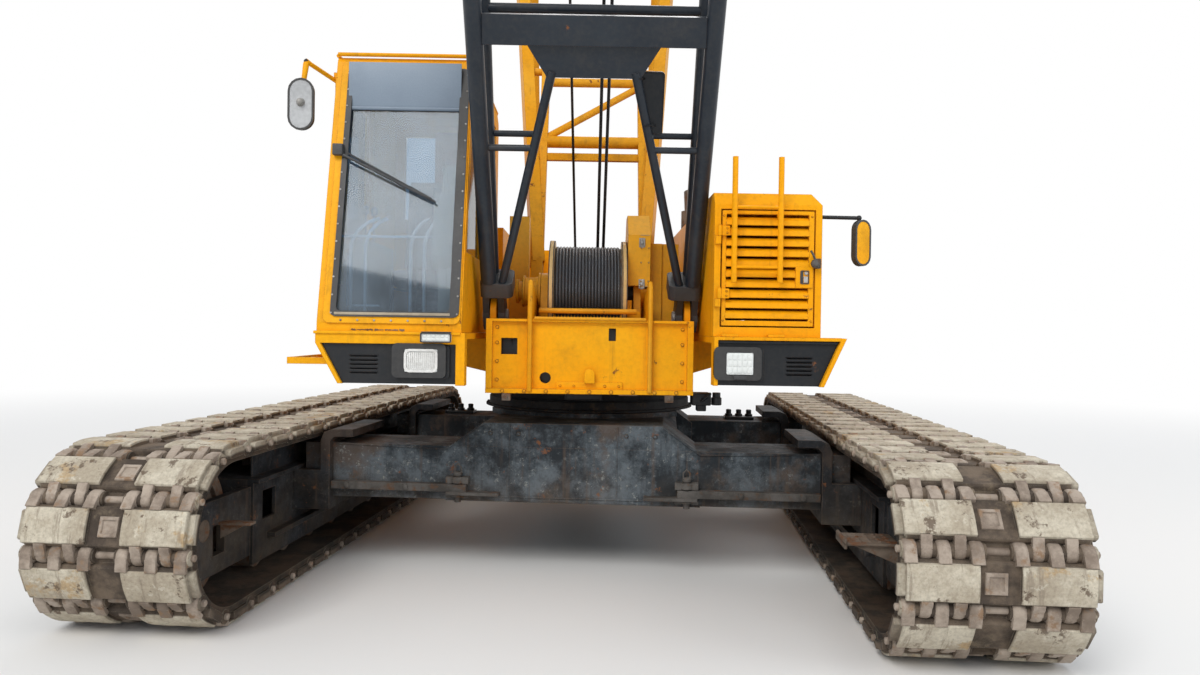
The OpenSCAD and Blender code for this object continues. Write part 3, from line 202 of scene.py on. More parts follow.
def steel(name, light, dark, rust, cover=0.5, metal=0.25, edge=0.008, rough=0.75):
    """Bare worn steel with rust and dry mud."""
    m = Mat(name, Metallic=metal, Specular_IOR_Level=0.3)
    a = m.noise(3.2, 9, 0.72)
    col = m.mix(m.mask(a, 0.4, 0.62), light, dark)
    b = m.noise(9, 10, 0.7, move=(4, 4, 1))
    col = m.mix(m.mask(b, 0.62 - 0.2 * cover, 0.74 - 0.2 * cover), col, rust)
    worn, normal = m.edges(edge)
    rubbed = m.mask(m.op("ADD", worn, m.op("MULTIPLY", a, 0.4)), 0.35, 0.6, 0.65)
    col = m.mix(rubbed, col, tuple(c * 1.25 for c in light))
    fine = m.noise(70, 5, 0.7)
    col = m.mix(m.mask(fine, 0.3, 0.8, 0.3), col, dark)
    m.set(Base_Color=col, Roughness=m.mask(b, -1.2 + rough, 1.0))
    m.bump(m.op("ADD", m.op("MULTIPLY", fine, 0.5), b), 0.6, 0.0025, normal)
    return m.m


def weathered(name, dark, light, brown, crust, cover, dust):
    """Blackened steel: mottled, streaked brown, with flecks of dry crust and rusty edges."""
    m = Mat(name, Specular_IOR_Level=0.25)
    a = m.noise(2.0, 11, 0.74)
    b = m.noise(1.3, 9, 0.7, move=(4, 7, 2))
    c = m.noise(7, 12, 0.8, move=(1, 3, 5))
    col = m.mix(m.mask(a, 0.42, 0.6), dark, light)
    col = m.mix(m.mask(c, 0.46, 0.6, 0.55), col, dark)
    col = m.mix(m.mask(b, 0.5, 0.6, 0.75), col, brown)
    col = m.mix(m.mask(m.noise(1.0, 8, 0.68, (14, 14, 0.8), distortion=0.3), 0.52, 0.7, 0.6), col, dark)
    col = m.mix(m.mask(m.noise(1.0, 8, 0.7, (11, 11, 0.7), move=(5, 2, 1)), 0.56, 0.68, 0.6), col, brown)
    flecks = m.mask(m.noise(24, 12, 0.85, move=(8, 2, 6)), 0.555, 0.61)
    flecks = m.op("MULTIPLY", flecks, m.mask(a, 0.42, 0.56))
    col = m.mix(m.op("MULTIPLY", flecks, cover), col, crust)
    worn, normal = m.edges(0.009)
    rubbed = m.mask(m.op("ADD", worn, m.op("MULTIPLY", c, 0.5)), 0.36, 0.56, 0.75)
    col = m.mix(rubbed, col, (0.155, 0.105, 0.07))
    rusty = m.mix(m.noise(24, 6, 0.7), RUST_DARK, RUST_LIGHT)
    col = m.mix(m.mask(m.noise(8, 12, 0.76, move=(5, 2, 7)), 0.6, 0.65, 0.8), col, rusty)
    film = m.op("MULTIPLY", m.mask(b, 0.3, 0.62, 0.55), m.op("SUBTRACT", 1.0, m.height(0.3, 0.8)))
    col = m.mix(film, col, dust)
    m.set(Base_Color=col, Roughness=m.mask(c, -0.4, 1.0))
    m.bump(m.op("ADD", c, m.op("MULTIPLY", flecks, 0.6)), 0.6, 0.003, normal)
    return m.m


def shoes(name):
    """Track shoes: pads chalky, ochre and brown; hollows dark brown with rust and painted shade; near black
    inside the loop and dark on the lower run as painted shade.
    """
    m = Mat(name, Metallic=0.05, Specular_IOR_Level=0.25)
    at = m.node("ShaderNodeSeparateXYZ", Vector=m.at((1, 1, 1), turn=(0, 0, -SLEW)))
    dy = m.op("MAXIMUM", m.op("SUBTRACT", m.op("ABSOLUTE", at.outputs[1]), SPAN), 0.0)
    dz = m.op("SUBTRACT", at.outputs[2], WHEEL_R)
    far = m.op("SQRT", m.op("ADD", m.op("MULTIPLY", dy, dy), m.op("MULTIPLY", dz, dz)))
    across = m.op("ABSOLUTE", m.op("SUBTRACT", m.op("ABSOLUTE", at.outputs[0]), TRACK_X))
    a = m.noise(4.5, 9, 0.68, move=(2, 7, 3))
    b = m.noise(2.6, 11, 0.74, move=(6, 1, 4))
    streak = m.noise(3.0, 8, 0.7, (7, 1, 1), move=(3, 3, 8))
    pad = m.mix(m.mask(a, 0.36, 0.62), (0.63, 0.575, 0.46), (0.43, 0.37, 0.28))
    pad = m.mix(m.mask(b, 0.56, 0.62, 0.75), pad, (0.46, 0.31, 0.15))
    pad = m.mix(m.mask(streak, 0.54, 0.64, 0.65), pad, (0.27, 0.22, 0.165))
    pad = m.mix(m.mask(m.noise(9, 9, 0.72, move=(1, 5, 9)), 0.57, 0.62, 0.85), pad, (0.12, 0.082, 0.056))
    pad = m.mix(m.mask(m.noise(15, 7, 0.7, move=(8, 5, 2)), 0.6, 0.66, 0.7), pad, (0.66, 0.61, 0.5))
    # Hollows between and under the pads, by distance from the pin line: rust with painted shade
    low = m.mix(m.mask(a, 0.38, 0.6), (0.165, 0.125, 0.09), (0.06, 0.046, 0.036))
    low = m.mix(m.mask(b, 0.56, 0.68, 0.6), low, (0.3, 0.235, 0.16))
    # Near black inside the loop: painted shade
    inner = m.mix(m.mask(a, 0.4, 0.6), (0.026, 0.022, 0.018), (0.075, 0.052, 0.036))
    wob = m.op("ADD", far, m.op("MULTIPLY", m.op("SUBTRACT", a, 0.5), 0.012))
    col = m.mix(m.mask(wob, 0.425, 0.445), inner, low)
    middle = m.op("ADD", across, m.op("MULTIPLY", m.op("SUBTRACT", b, 0.5), 0.03))
    top = m.op("MULTIPLY", m.mask(wob, 0.48, 0.488), m.mask(middle, 0.052, 0.062))
    # Pad colour on the shoe ends stops towards the ground, so the lower run stays dark: painted shade and dirt
    ends = m.op("MULTIPLY", m.mask(middle, 0.405, 0.425, 0.75), m.mask(wob, 0.436, 0.452))
    top = m.op("MAXIMUM", top, m.op("MULTIPLY", ends, m.mask(at.outputs[2], 0.1, 0.4)))
    col = m.mix(top, col, pad)
    worn, normal = m.edges(0.01)
    col = m.mix(m.mask(m.op("ADD", worn, m.op("MULTIPLY", a, 0.4)), 0.42, 0.62, 0.5), col, (0.46, 0.41, 0.31))
    fine = m.noise(60, 6, 0.7)
    col = m.mix(m.mask(fine, 0.35, 0.8, 0.4), col, (0.1, 0.075, 0.055))
    m.set(Base_Color=col, Roughness=m.mask(b, -1.5, 1.3))
    rough = m.op("ADD", m.op("MULTIPLY", fine, 0.5), m.op("MULTIPLY", m.noise(16, 8, 0.7), 1.0))
    m.bump(m.op("ADD", rough, m.op("MULTIPLY", b, 1.2)), 0.9, 0.008, normal)
    return m.m


def rope(name, colour, strand=1.0, dirt=0.5, shine=0.5):
    """Greased wire rope: fine slanted strands."""
    m = Mat(name, Metallic=0.5, Roughness=0.55 - 0.3 * shine, Specular_IOR_Level=0.5)
    lay = m.at((60 * strand, 60 * strand, 75 * strand))
    w = m.node("ShaderNodeTexWave", Vector=lay, Scale=1.0, Distortion=0.6)
    w.bands_direction = "DIAGONAL"
    n = m.noise(12, 5, 0.6)
    col = m.mix(m.mask(w.outputs["Fac"], 0.3, 0.8, 0.6), tuple(c * 0.5 for c in colour), colour)
    col = m.mix(m.mask(n, 0.45, 0.75, dirt), col, (0.1, 0.075, 0.05))
    m.set(Base_Color=col)
    m.bump(w.outputs["Fac"], 0.6, 0.002)
    return m.m


def plain(name, colour, dark, rough=0.5, metal=0.0, grain=40, bump=0.3, edge=0.0):
    """Even paint, rubber or plastic with a light soiling."""
    m = Mat(name, Metallic=metal)
    n = m.noise(grain, 5, 0.6)
    big = m.noise(2.5, 6, 0.6)
    col = m.mix(m.mask(n, 0.35, 0.7, 0.35), colour, dark)
    col = m.mix(m.mask(big, 0.45, 0.7, 0.45), col, dark)
    m.set(Base_Color=col, Roughness=m.mask(big, -1.5 + rough, 1.5 + rough * 0.3))
    m.bump(n, bump, 0.0008, m.edges(edge)[1] if edge else None)
    return m.m


def glass(name, tint):
    """Dusty cab glass, its film blue-grey with dust and painted sky reflection."""
    m = Mat(name, Roughness=0.05, IOR=1.45, Base_Color=(0.46, 0.56, 0.66, 1))
    # Film of dust, coloured blue-grey as painted sky reflection
    film = m.op("ADD", m.mask(m.noise(2.2, 7, 0.65, (1, 1, 0.45)), 0.3, 0.8, 0.16), 0.05)
    clear = m.node("ShaderNodeBsdfTransparent", Color=(*tint, 1))
    gloss = m.node("ShaderNodeBsdfGlossy", Roughness=0.04)
    fresnel = m.node("ShaderNodeFresnel", IOR=1.4)
    pane = mix_shader(m.t, fresnel.outputs[0], clear.outputs[0], gloss.outputs[0])
    m.feed(m.t.nodes["Material Output"].inputs[0], mix_shader(m.t, film, pane, m.b.outputs[0]))
    return m.m


# Each material by a short name
YELLOW, YELLOW_FADED, YELLOW_DIRT = (0.86, 0.355, 0.002), (0.86, 0.42, 0.01), (0.28, 0.125, 0.012)
MATERIALS = {
    "yellow": paint("yellow_paint", YELLOW, YELLOW_FADED, YELLOW_DIRT, rust=0.48, wear=0.8, spec=0.12),
    "yellow_old": paint("yellow_old", (0.72, 0.3, 0.006), (0.76, 0.38, 0.03), (0.2, 0.1, 0.02), rust=0.6,
                        streaks=0.65, wear=0.8, spec=0.12),
    # The boom's black is tinted blue: painted reflection of the sky
    "boom": paint("black_boom", (0.01, 0.016, 0.025), (0.026, 0.036, 0.048), (0.07, 0.06, 0.05), rust=0.22,
                  streaks=0.3, wear=0.3, rough=0.3, spec=0.35),
    "black": paint("black_paint", (0.006, 0.008, 0.011), (0.016, 0.018, 0.021), (0.05, 0.043, 0.035),
                   rust=0.2, streaks=0.35, wear=0.3, rough=0.35, spec=0.3),
    "under": weathered("black_undercarriage", (0.014, 0.018, 0.022), (0.105, 0.125, 0.14),
                       (0.085, 0.06, 0.045), (0.3, 0.31, 0.29), 0.8, (0.13, 0.095, 0.065)),
    "side": weathered("black_side_frames", (0.007, 0.008, 0.01), (0.034, 0.037, 0.042), (0.058, 0.04, 0.029),
                      (0.17, 0.15, 0.12), 0.6, (0.1, 0.075, 0.05)),
    "grease": steel("greased_steel", (0.04, 0.04, 0.041), (0.012, 0.012, 0.013), (0.075, 0.055, 0.04),
                    cover=0.35, metal=0.1, rough=0.45),
    "collar": paint("grey_paint", (0.04, 0.046, 0.052), (0.075, 0.08, 0.085), (0.11, 0.09, 0.07), rust=0.4,
                    wear=0.4),
    "shoe": shoes("worn_steel"),
    "lug": steel("hinge_lugs", (0.42, 0.35, 0.285), (0.2, 0.155, 0.12), (0.27, 0.17, 0.1), cover=0.45,
                 metal=0.15),
    "rusty": steel("rusty_steel", (0.22, 0.17, 0.13), (0.11, 0.085, 0.065), (0.17, 0.075, 0.035), cover=0.7),
    "dark_steel": steel("dark_steel", (0.12, 0.11, 0.1), (0.05, 0.045, 0.04), (0.12, 0.06, 0.03), cover=0.5),
    "bright": steel("bright_steel", (0.5, 0.49, 0.47), (0.3, 0.29, 0.27), (0.2, 0.12, 0.07), cover=0.2,
                    metal=0.7, edge=0.003),
    "rope": rope("wire_rope", (0.075, 0.065, 0.055)),
    "turns": rope("drum_rope", (0.08, 0.087, 0.098), strand=0.8, dirt=0.25, shine=0.9),
    "black_rope": rope("hoist_rope", (0.022, 0.022, 0.024), dirt=0.2),
    "gearbox": paint("yellow_gearbox", (0.84, 0.38, 0.012), (0.86, 0.46, 0.06), (0.3, 0.15, 0.03), rust=0.35,
                     streaks=0.45, wear=0.6),
    "flange": paint("drum_flange", (0.62, 0.4, 0.15), (0.68, 0.5, 0.25), (0.28, 0.18, 0.09), wear=0.8),
    "glass": glass("cab_glass", (0.56, 0.66, 0.74)),
    "rubber": plain("black_rubber", (0.022, 0.022, 0.023), (0.05, 0.048, 0.045), 0.7),
    "trim": plain("cab_trim", (0.05, 0.05, 0.052), (0.02, 0.02, 0.02), 0.6, edge=0.004),
    "beige": plain("cab_console", (0.42, 0.36, 0.26), (0.25, 0.2, 0.14), 0.6, edge=0.004),
    "silver": plain("silver_paint", (0.42, 0.43, 0.44), (0.26, 0.265, 0.27), 0.35, metal=0.4, bump=0.1),
    # Grey-blue blind: painted reflection of the sky
    "blind": plain("cab_blind_sky_reflection", (0.2, 0.255, 0.32), (0.15, 0.19, 0.245), 0.8, grain=120),
    "chrome": plain("chrome", (0.75, 0.75, 0.74), (0.55, 0.54, 0.52), 0.12, metal=1.0, bump=0.05),
    "lens": plain("lamp_lens", (0.8, 0.82, 0.8), (0.6, 0.62, 0.6), 0.15, bump=0.1),
    "seat": plain("seat_cloth", (0.07, 0.07, 0.08), (0.03, 0.03, 0.035), 0.9, grain=260, bump=0.6),
    "red": plain("red_oxide", (0.28, 0.045, 0.022), (0.15, 0.03, 0.015), 0.6),
}

# Materials of the CAD nodes
BY_NODE = {
    "yellow": "revolving_frame counterweight cab_shell cab_door house_right house_door side_door_front "
              "side_door_rear house_left house_left_door house_hinges grab_rails cab_steps",
    # The gantry takes the darker yellow: dirt and painted shade
    "yellow_old": "gantry_struts gantry_legs",
    "gearbox": "winch_stands winch_covers",
    "boom": "boom_base_chords boom_base_lacing boom_foot_frame boom_tip_chords boom_tip_lacing boom_head",
    "collar": "boom_foot",
    "black": "aprons mirrors",
    "under": "car_body",
    "side": "side_frames saddles",
    "grease": "slew_ring slew_ring_upper",
    "shoe": "left_track right_track",
    "rusty": "idlers sprockets rollers exhaust gantry_sheaves bridle",
    "dark_steel": "lock_links drives head_sheaves hook_block engine front_drum rear_drum luffing_drum",
    "bright": "frame_pins gantry_shaft",
    "rope": "luffing_falls pendants bridle_falls hook_ropes",
    "glass": "cab_glass cab_door_glass",
    "trim": "cab_seat",
    "beige": "cab_console",
    "lens": "headlamps",
}
for key, names in BY_NODE.items():
    for n in names.split():
        NODES[n].data.materials.clear()
        NODES[n].data.materials.append(MATERIALS[key])


# Stage and light
FLOOR_HALF, FLOOR_Z, WHITE_FROM, WHITE_AT = 60, -0.002, 7.0, 20.0


def background_ray(tree):
    """1 for the rays that find a plain white background."""
    path = tree.nodes.new("ShaderNodeLightPath")
    found = path.outputs["Is Camera Ray"]
    for kind in ("Is Glossy Ray", "Is Transmission Ray"):
        either = tree.nodes.new("ShaderNodeMath")
        either.operation = "MAXIMUM"
        tree.links.new(found, either.inputs[0])
        tree.links.new(path.outputs[kind], either.inputs[1])
        found = either.outputs[0]
    return found


def floor_material():
    """Pale ground that turns white in the distance."""
    m = Mat("floor", Roughness=0.85, Base_Color=(0.78, 0.77, 0.75, 1))
    away = m.t.nodes.new("ShaderNodeVectorMath")
    away.operation = "LENGTH"
    m.feed(away.inputs[0], m.co)
    glow = m.node("ShaderNodeEmission", Color=(1, 1, 1, 1), Strength=1.0)
    fade = m.op("MULTIPLY", m.mask(away.outputs["Value"], WHITE_FROM, WHITE_AT), background_ray(m.t))
    m.feed(m.t.nodes["Material Output"].inputs[0], mix_shader(m.t, fade, m.b.outputs[0], glow.outputs[0]))
    return m.m


floor = put("floor", bpy.data.meshes.new("floor"))
corners = [(x * FLOOR_HALF, y * FLOOR_HALF, FLOOR_Z) for x, y in ((-1, -1), (1, -1), (1, 1), (-1, 1))]
floor.data.from_pydata(corners, [], [(0, 1, 2, 3)])
floor.data.materials.append(floor_material())

scene.world = bpy.data.worlds.new("world")
scene.world.use_nodes = True
sky = scene.world.node_tree
daylight = sky.nodes["Background"]
daylight.inputs["Color"].default_value = (0.86, 0.9, 0.96, 1)
daylight.inputs["Strength"].default_value = 0.72
white = sky.nodes.new("ShaderNodeBackground")
white.inputs["Color"].default_value = (1, 1, 1, 1)
seen = mix_shader(sky, background_ray(sky), daylight.outputs[0], white.outputs[0])
sky.links.new(seen, sky.nodes["World Output"].inputs[0])


def lamp(name, where, to, size, power, colour=(1, 1, 1)):
    """Square lamp that looks at a point."""
    d = bpy.data.lights.new(name, "AREA")
    d.shape = "SQUARE"
    d.size = size
    d.energy = power
    d.color = colour
    o = put(name, d)
    o.location = where
    o.rotation_euler = (Vector(to) - Vector(where)).to_track_quat("-Z", "Y").to_euler()


lamp("key", (-8, -18, 18), (0, -1, 3), 12, 3450, (1.0, 0.985, 0.96))
lamp("fill", (16, -10, 9), (0, 0, 3), 10, 900, (0.95, 0.97, 1.0))
lamp("back", (4, 18, 20), (0, 0, 5), 12, 1800)


# Meshes
SLOTS = {
    "yellow_paint": "yellow yellow_old gearbox flange",
    "black_paint": "black dark_steel grease under",
    "cab_trim": "trim rubber beige blind red",
    "worn_steel": "rusty lug",
    "bright_steel": "bright",
    "wire_rope": "turns black_rope",
    "grey_paint": "silver",
    "lamp": "chrome lens",
}
SLOT_OF = {mat: slot for slot, mats in SLOTS.items() for mat in mats.split()}


def skin(bm, rows, ends=True):
    """Closed strips of faces between rows of vertices, with both end rows filled if ends."""
    for low, high in zip(rows, rows[1:]):
        for i in range(len(low)):
            j = (i + 1) % len(low)
            bm.faces.new((low[i], low[j], high[j], high[i]))
    if ends:
        bm.faces.new(rows[0][::-1])
        bm.faces.new(rows[-1])


def bevel(bm, size, segments=2, profile=0.6):
    bmesh.ops.bevel(bm, geom=bm.edges[:], offset=size, segments=segments, profile=profile, affect="EDGES")


def block(lo, hi):
    """A bmesh of a plain box."""
    bm = bmesh.new()
    bmesh.ops.create_cube(bm, size=1)
    for v in bm.verts:
        v.co = [a + (q + 0.5) * (b - a) for q, a, b in zip(v.co, lo, hi)]
    return bm


def solid(name, bm):
    """An object of a bmesh, which is used up."""
    me = bpy.data.meshes.new(name)
    bm.to_mesh(me)
    bm.free()
    return put(name, me)


def smooth(me):
    me.polygons.foreach_set("use_smooth", [True] * len(me.polygons))


class Build:
    """Collects the parts of one piece in a bmesh. The slot follows from the material if it isn't given."""
    def __init__(self, name, mat, body="upper_works", slot=None):
        self.name = name
        self.mat = mat
        self.body = body
        self.slot = slot or SLOT_OF[mat]
        self.bm = bmesh.new()

    def take(self, other):
        """Adds another bmesh, which is used up."""
        me = bpy.data.meshes.new("t")
        other.to_mesh(me)
        other.free()
        self.bm.from_mesh(me)
        bpy.data.meshes.remove(me)

    def row(self, points):
        """New vertices at the points."""
        return [self.bm.verts.new(p) for p in points]

    def box(self, lo, hi, bev=0.004, turn=None):
        """Box with rounded edges, turned about its middle."""
        b = block(lo, hi)
        bevel(b, bev)
        if turn is not None:
            middle = (Vector(lo) + Vector(hi)) / 2
            bmesh.ops.transform(b, verts=b.verts,
                                matrix=Matrix.Translation(middle) @ turn @ Matrix.Translation(-middle))
        self.take(b)
        return self

    def tube(self, pts, r, n=8):
        """Round bar along points, with one radius or a list of them."""
        pts = [Vector(p) for p in pts]
        rings, up = [], None
        for i, p in enumerate(pts):
            d = (pts[min(i + 1, len(pts) - 1)] - pts[max(i - 1, 0)]).normalized()
            if up is None:
                up = d.orthogonal().normalized()
            up = (up - d * up.dot(d)).normalized()
            side = d.cross(up)
            rr = r[i] if isinstance(r, (list, tuple)) else r
            turns = (2 * pi * k / n for k in range(n))
            rings.append(self.row(p + (up * cos(a) + side * sin(a)) * rr for a in turns))
        skin(self.bm, rings)
        return self

    def lathe(self, a, b, profile, n=24):
        """Profile of (distance along a to b in metres, radius)."""
        a, b = Vector(a), Vector(b)
        d = (b - a).normalized()
        return self.tube([a + d * t for t, _ in profile], [max(r, 0.0003) for _, r in profile], n)

    def bolt(self, p, d, r=0.012, h=0.01):
        p, d = Vector(p), Vector(d).normalized()
        washer = r * 1.35
        profile = [(0, washer), (0.003, washer), (0.0031, r), (h, r), (h + 0.002, r * 0.8)]
        return self.lathe(p, p + d, profile, 6)

    def prism(self, poly, axis, t0, t1, bev=0.0):
        """Polygon in the two other axes, drawn along an axis."""
        b = bmesh.new()
        rows = []
        for t in (t0, t1):
            points = [list(q) for q in poly]
            for p in points:
                p.insert(axis, t)
            rows.append([b.verts.new(p) for p in points])
        skin(b, rows)
        bmesh.ops.recalc_face_normals(b, faces=b.faces[:])
        if bev:
            bevel(b, bev)
        self.take(b)
        return self

    def made(self):
        """The piece as an object, with its normals outward."""
        bmesh.ops.recalc_face_normals(self.bm, faces=self.bm.faces[:])
        o = solid(self.name, self.bm)
        smooth(o.data)
        o.data.materials.append(MATERIALS[self.mat])
        return o

    def done(self, angle=35):
        """Ends a piece that rides on one body; edges past the angle stay sharp."""
        o = self.made()
        o.data.set_sharp_from_angle(angle=radians(angle))
        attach(o, self.body)
        return o


# Places
def boom(x, v, w):
    """A point of the boom: v off its axis to the rear, w along it from the foot pin."""
    return Vector((x, FOOT.y - w * cos(TILT) + v * sin(TILT), FOOT.z + w * sin(TILT) + v * cos(TILT)))


HALF_TURN = pi * PIN_R
LOOP = 4 * SPAN + 2 * HALF_TURN


def loop_point(s):
    """Place on the track's pin line, with its outward direction."""
    s %= LOOP
    if s < 2 * SPAN:
        y, a = -SPAN + s, pi / 2
    elif s < 2 * SPAN + HALF_TURN:
        y, a = SPAN, pi / 2 - (s - 2 * SPAN) / PIN_R
    elif s < 4 * SPAN + HALF_TURN:
        y, a = SPAN - (s - 2 * SPAN - HALF_TURN), -pi / 2
    else:
        y, a = -SPAN, -pi / 2 - (s - 4 * SPAN - HALF_TURN) / PIN_R
    d = Vector((0, cos(a), sin(a)))
    return Vector((0, y, WHEEL_R)) + d * PIN_R, d


def turned(b):
    """Turns a piece with the crawlers, which stand askew under the upper works."""
    bmesh.ops.transform(b.bm, matrix=Matrix.Rotation(SLEW, 4, "Z"), verts=b.bm.verts[:])
    return b


# Outlines
def rounded(x0, x1, z0, z1, r):
    """Rounded rectangle as a list of (x, z)."""
    centres = ((x1 - r, z1 - r), (x0 + r, z1 - r), (x0 + r, z0 + r), (x1 - r, z0 + r))
    return [(cx + r * cos(a), cz + r * sin(a)) for q, (cx, cz) in enumerate(centres)
            for a in (pi / 2 * (q + k / 4) for k in range(5))]


def oval(w, h, n=9):
    """Stadium outline, w wide and h high, as a list of (x, z) about the origin."""
    r, s = w / 2, (h - w) / 2
    half = [pi * k / (n - 1) for k in range(n)]
    return [(r * cos(a), s + r * sin(a)) for a in half] + [(-r * cos(a), -s - r * sin(a)) for a in half]


def frame_ring(b, outer, inner, place, t0, t1):
    """Flat ring between two outlines with as many points; place(x, z, off) gives the point."""
    rows = [b.row(place(x, z, t) for x, z in line)
            for line, t in ((outer, t0), (outer, t1), (inner, t1), (inner, t0))]
    skin(b.bm, rows + rows[:1], ends=False)


def window(b, outer, inner, place, t0, t1):
    """Ring between two rounded rectangles, each given as x0, x1, z0, z1 and the radius."""
    frame_ring(b, rounded(*outer), rounded(*inner), place, t0, t1)


def plate(b, outline, place, t0, t1):
    """Flat plate of an outline with its rim."""
    skin(b.bm, [b.row(place(x, z, t) for x, z in outline) for t in (t0, t1)])


def facing(y):
    """Places on an upright plane that faces forward."""
    return lambda x, z, off=0.0: Vector((x, y - off, z))


# Crawlers: knuckles and pins of the shoes' hinges
SHOES = 45
PITCH = LOOP / SHOES
SHOE_PHASE = {"left": 0.42, "right": 0.0}
KNUCKLES, KNUCKLE_FROM, KNUCKLE_STEP, KNUCKLE_PLAY = 5, 0.06, 0.076, 0.002
BARREL_RISE, BARREL_R, PIN_END = 0.008, 0.039, 0.436
WINDOW_RISE, WINDOW_STEPS = 0.0345, ((0.052, 0.0), (0.049, 0.009), (0.034, 0.009), (0.031, 0.0005))


def knuckle(b, x0, x1, pin, out, along, big):
    """Ring round the hinge pin with a finger that grips the shoe's edge."""
    r = BARREL_R + (0.011 if big else 0.007)
    c = pin + out * BARREL_RISE
    w = x1 - x0
    b.lathe(c + Vector((x0, 0, 0)), c + Vector((x1, 0, 0)),
            [(0, r - 0.014), (0.006, r - 0.004), (0.016, r), (w - 0.016, r), (w - 0.006, r - 0.004),
             (w, r - 0.014)], 14)
    top = BARREL_RISE + r - 0.002
    side = [(0, top - 0.012), (0, top), (0.026, top + 0.001), (0.046, 0.0605), (0.066, 0.0605),
            (0.066, 0.034)]
    skin(b.bm, [b.row(pin + Vector((x, 0, 0)) + along * u + out * v for u, v in side)
                for x in (x0 + 0.004, x1 - 0.004)])


def tooth_window(b, c, along, out):
    """Square rims one in another round c, on the recessed strip of a shoe."""
    corners = ((-1, -1), (1, -1), (1, 1), (-1, 1))
    rows = [b.row(c + Vector((a * x, 0, 0)) + along * a * u + out * h for x, u in corners)
            for a, h in WINDOW_STEPS]
    skin(b.bm, rows, ends=False)
    b.bm.faces.new(rows[-1])


for side, name in ((-1, "left"), (1, "right")):
    k = Build(name + "_track_hinges", "lug", "undercarriage")
    w = Build(name + "_track_windows", "lug", "undercarriage")
    cx = side * TRACK_X
    for i in range(SHOES):
        pin, out = loop_point((i + SHOE_PHASE[name]) * PITCH)
        along = Vector((0, -out.z, out.y))
        for e in (-1, 1):
            for j in range(KNUCKLES):
                big = j % 2 == 0
                play = random.uniform(-KNUCKLE_PLAY, KNUCKLE_PLAY)
                mid = cx + e * (KNUCKLE_FROM + (j + 0.5) * KNUCKLE_STEP) + play
                half = 0.033 if big else 0.03
                knuckle(k, mid - half, mid + half, pin, out, along * (1 if big else -1), big)
            end = Vector((cx + e * PIN_END, 0, 0)) + pin + out * BARREL_RISE
            k.lathe(end, end + Vector((e, 0, 0)), [(0, 0.018), (0.02, 0.018), (0.024, 0.012)], 10)
        k.lathe(pin + Vector((cx - 0.062, 0, 0)), pin + Vector((cx + 0.062, 0, 0)),
                [(0, 0.021), (0.124, 0.021)], 12)
        # Some windows are filled with mud
        if i % 3 == 2 or i % 7 == 4:
            continue
        at, out = loop_point((i + SHOE_PHASE[name] + 0.5) * PITCH)
        tooth_window(w, Vector((cx - side * 0.015, 0, 0)) + at + out * WINDOW_RISE,
                     Vector((0, -out.z, out.y)), out)
    turned(k).done(40)
    turned(w).done(30)

# Drums: rope turns and flange rims. Each drum has the y and z of its axis and its radius
DRUMS = {"front_drum": (-0.8, 1.9, 0.31), "rear_drum": (0.75, 1.96, 0.31), "luffing_drum": (1.85, 1.96, 0.24)}
TURNS, SIDES, ROPE_FROM, ROPE_TO, FLANGE, FLANGE_RISE = 21, 44, -0.254, 0.214, 0.035, 0.05
for body, (y, z, r) in DRUMS.items():
    b = Build(body + "_turns", "turns", body)
    step = (ROPE_TO - ROPE_FROM) / TURNS
    around = r + 0.001
    shares = [i / SIDES for i in range((TURNS - 1) * SIDES + 1)]
    b.tube([(ROPE_FROM + step * (0.5 + t), y + around * cos(2 * pi * t), z + around * sin(2 * pi * t))
            for t in shares], step * 0.47)
    b.done(60)
    b = Build(body + "_flanges", "flange", body)
    rim = r + FLANGE_RISE
    for x in (ROPE_FROM - FLANGE, ROPE_TO):
        b.lathe((x - 0.001, y, z), (x + 1, y, z),
                [(0, 0.12), (0.0005, rim - 0.008), (0.008, rim + 0.0015), (FLANGE - 0.006, rim + 0.0015),
                 (FLANGE + 0.0015, rim - 0.008), (FLANGE + 0.002, r - 0.03)], 48)
    b.done(40)

# Hoist ropes from the drums to the boom's head
HEAD_V, HEAD_W, HEAD_R, HEAD_SPREAD, ROPE_R = -0.49, 15.24, 0.3, 3.2, 0.011
ROPE_SHARES = (0, 0.02, 0.04, 0.06, 0.08, 0.1, 0.13, 0.2, 0.4, 0.6, 0.8, 1.0)
for name, x, drum in (("hoist_rope_main", 0.045, "front_drum"), ("hoist_rope_second", 0.085, "front_drum"),
                      ("hoist_rope_aux", -0.14, "rear_drum")):
    end = boom(x * HEAD_SPREAD, HEAD_V + HEAD_R + 0.01, HEAD_W - 0.02)
    y, z, r = DRUMS[drum]
    axis = Vector((x, y, z))
    d = (end - axis).normalized()
    out = Vector((0, -d.z, d.y)).normalized()
    if out.z < 0:
        out = -out
    start = axis + out * (r + 0.01)
    pts = [start.lerp(end, t) for t in ROPE_SHARES]
    o = Build(name, "black_rope").tube(pts, ROPE_R).made()
    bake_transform(o)

# Cab
CAB_Y, FRONT_LOW, FRONT_TOP, FRONT_DEPTH = -1.8, 1.655, 3.32, 0.37
SLOPE = FRONT_DEPTH / (FRONT_TOP - FRONT_LOW)


def screen(x, z, off=0.0):
    """A point on the cab's sloped front, off metres in front of it."""
    return Vector((x, CAB_Y + (z - FRONT_LOW) * SLOPE - off, z))


# Wiper
b = Build("wiper", "trim")
b.tube([screen(-1.6, 2.72, 0.02), screen(-1.56, 2.7, 0.035), screen(-1.14, 2.49, 0.03),
        screen(-0.99, 2.42, 0.03)], 0.008)
b.tube([screen(-1.575, 2.735, 0.014), screen(-1.02, 2.435, 0.014), screen(-0.96, 2.4, 0.014)],
       [0.006, 0.01, 0.006], 6)
b.box(screen(-1.61, 2.69, 0.05), screen(-1.545, 2.76, -0.01), 0.008).done()

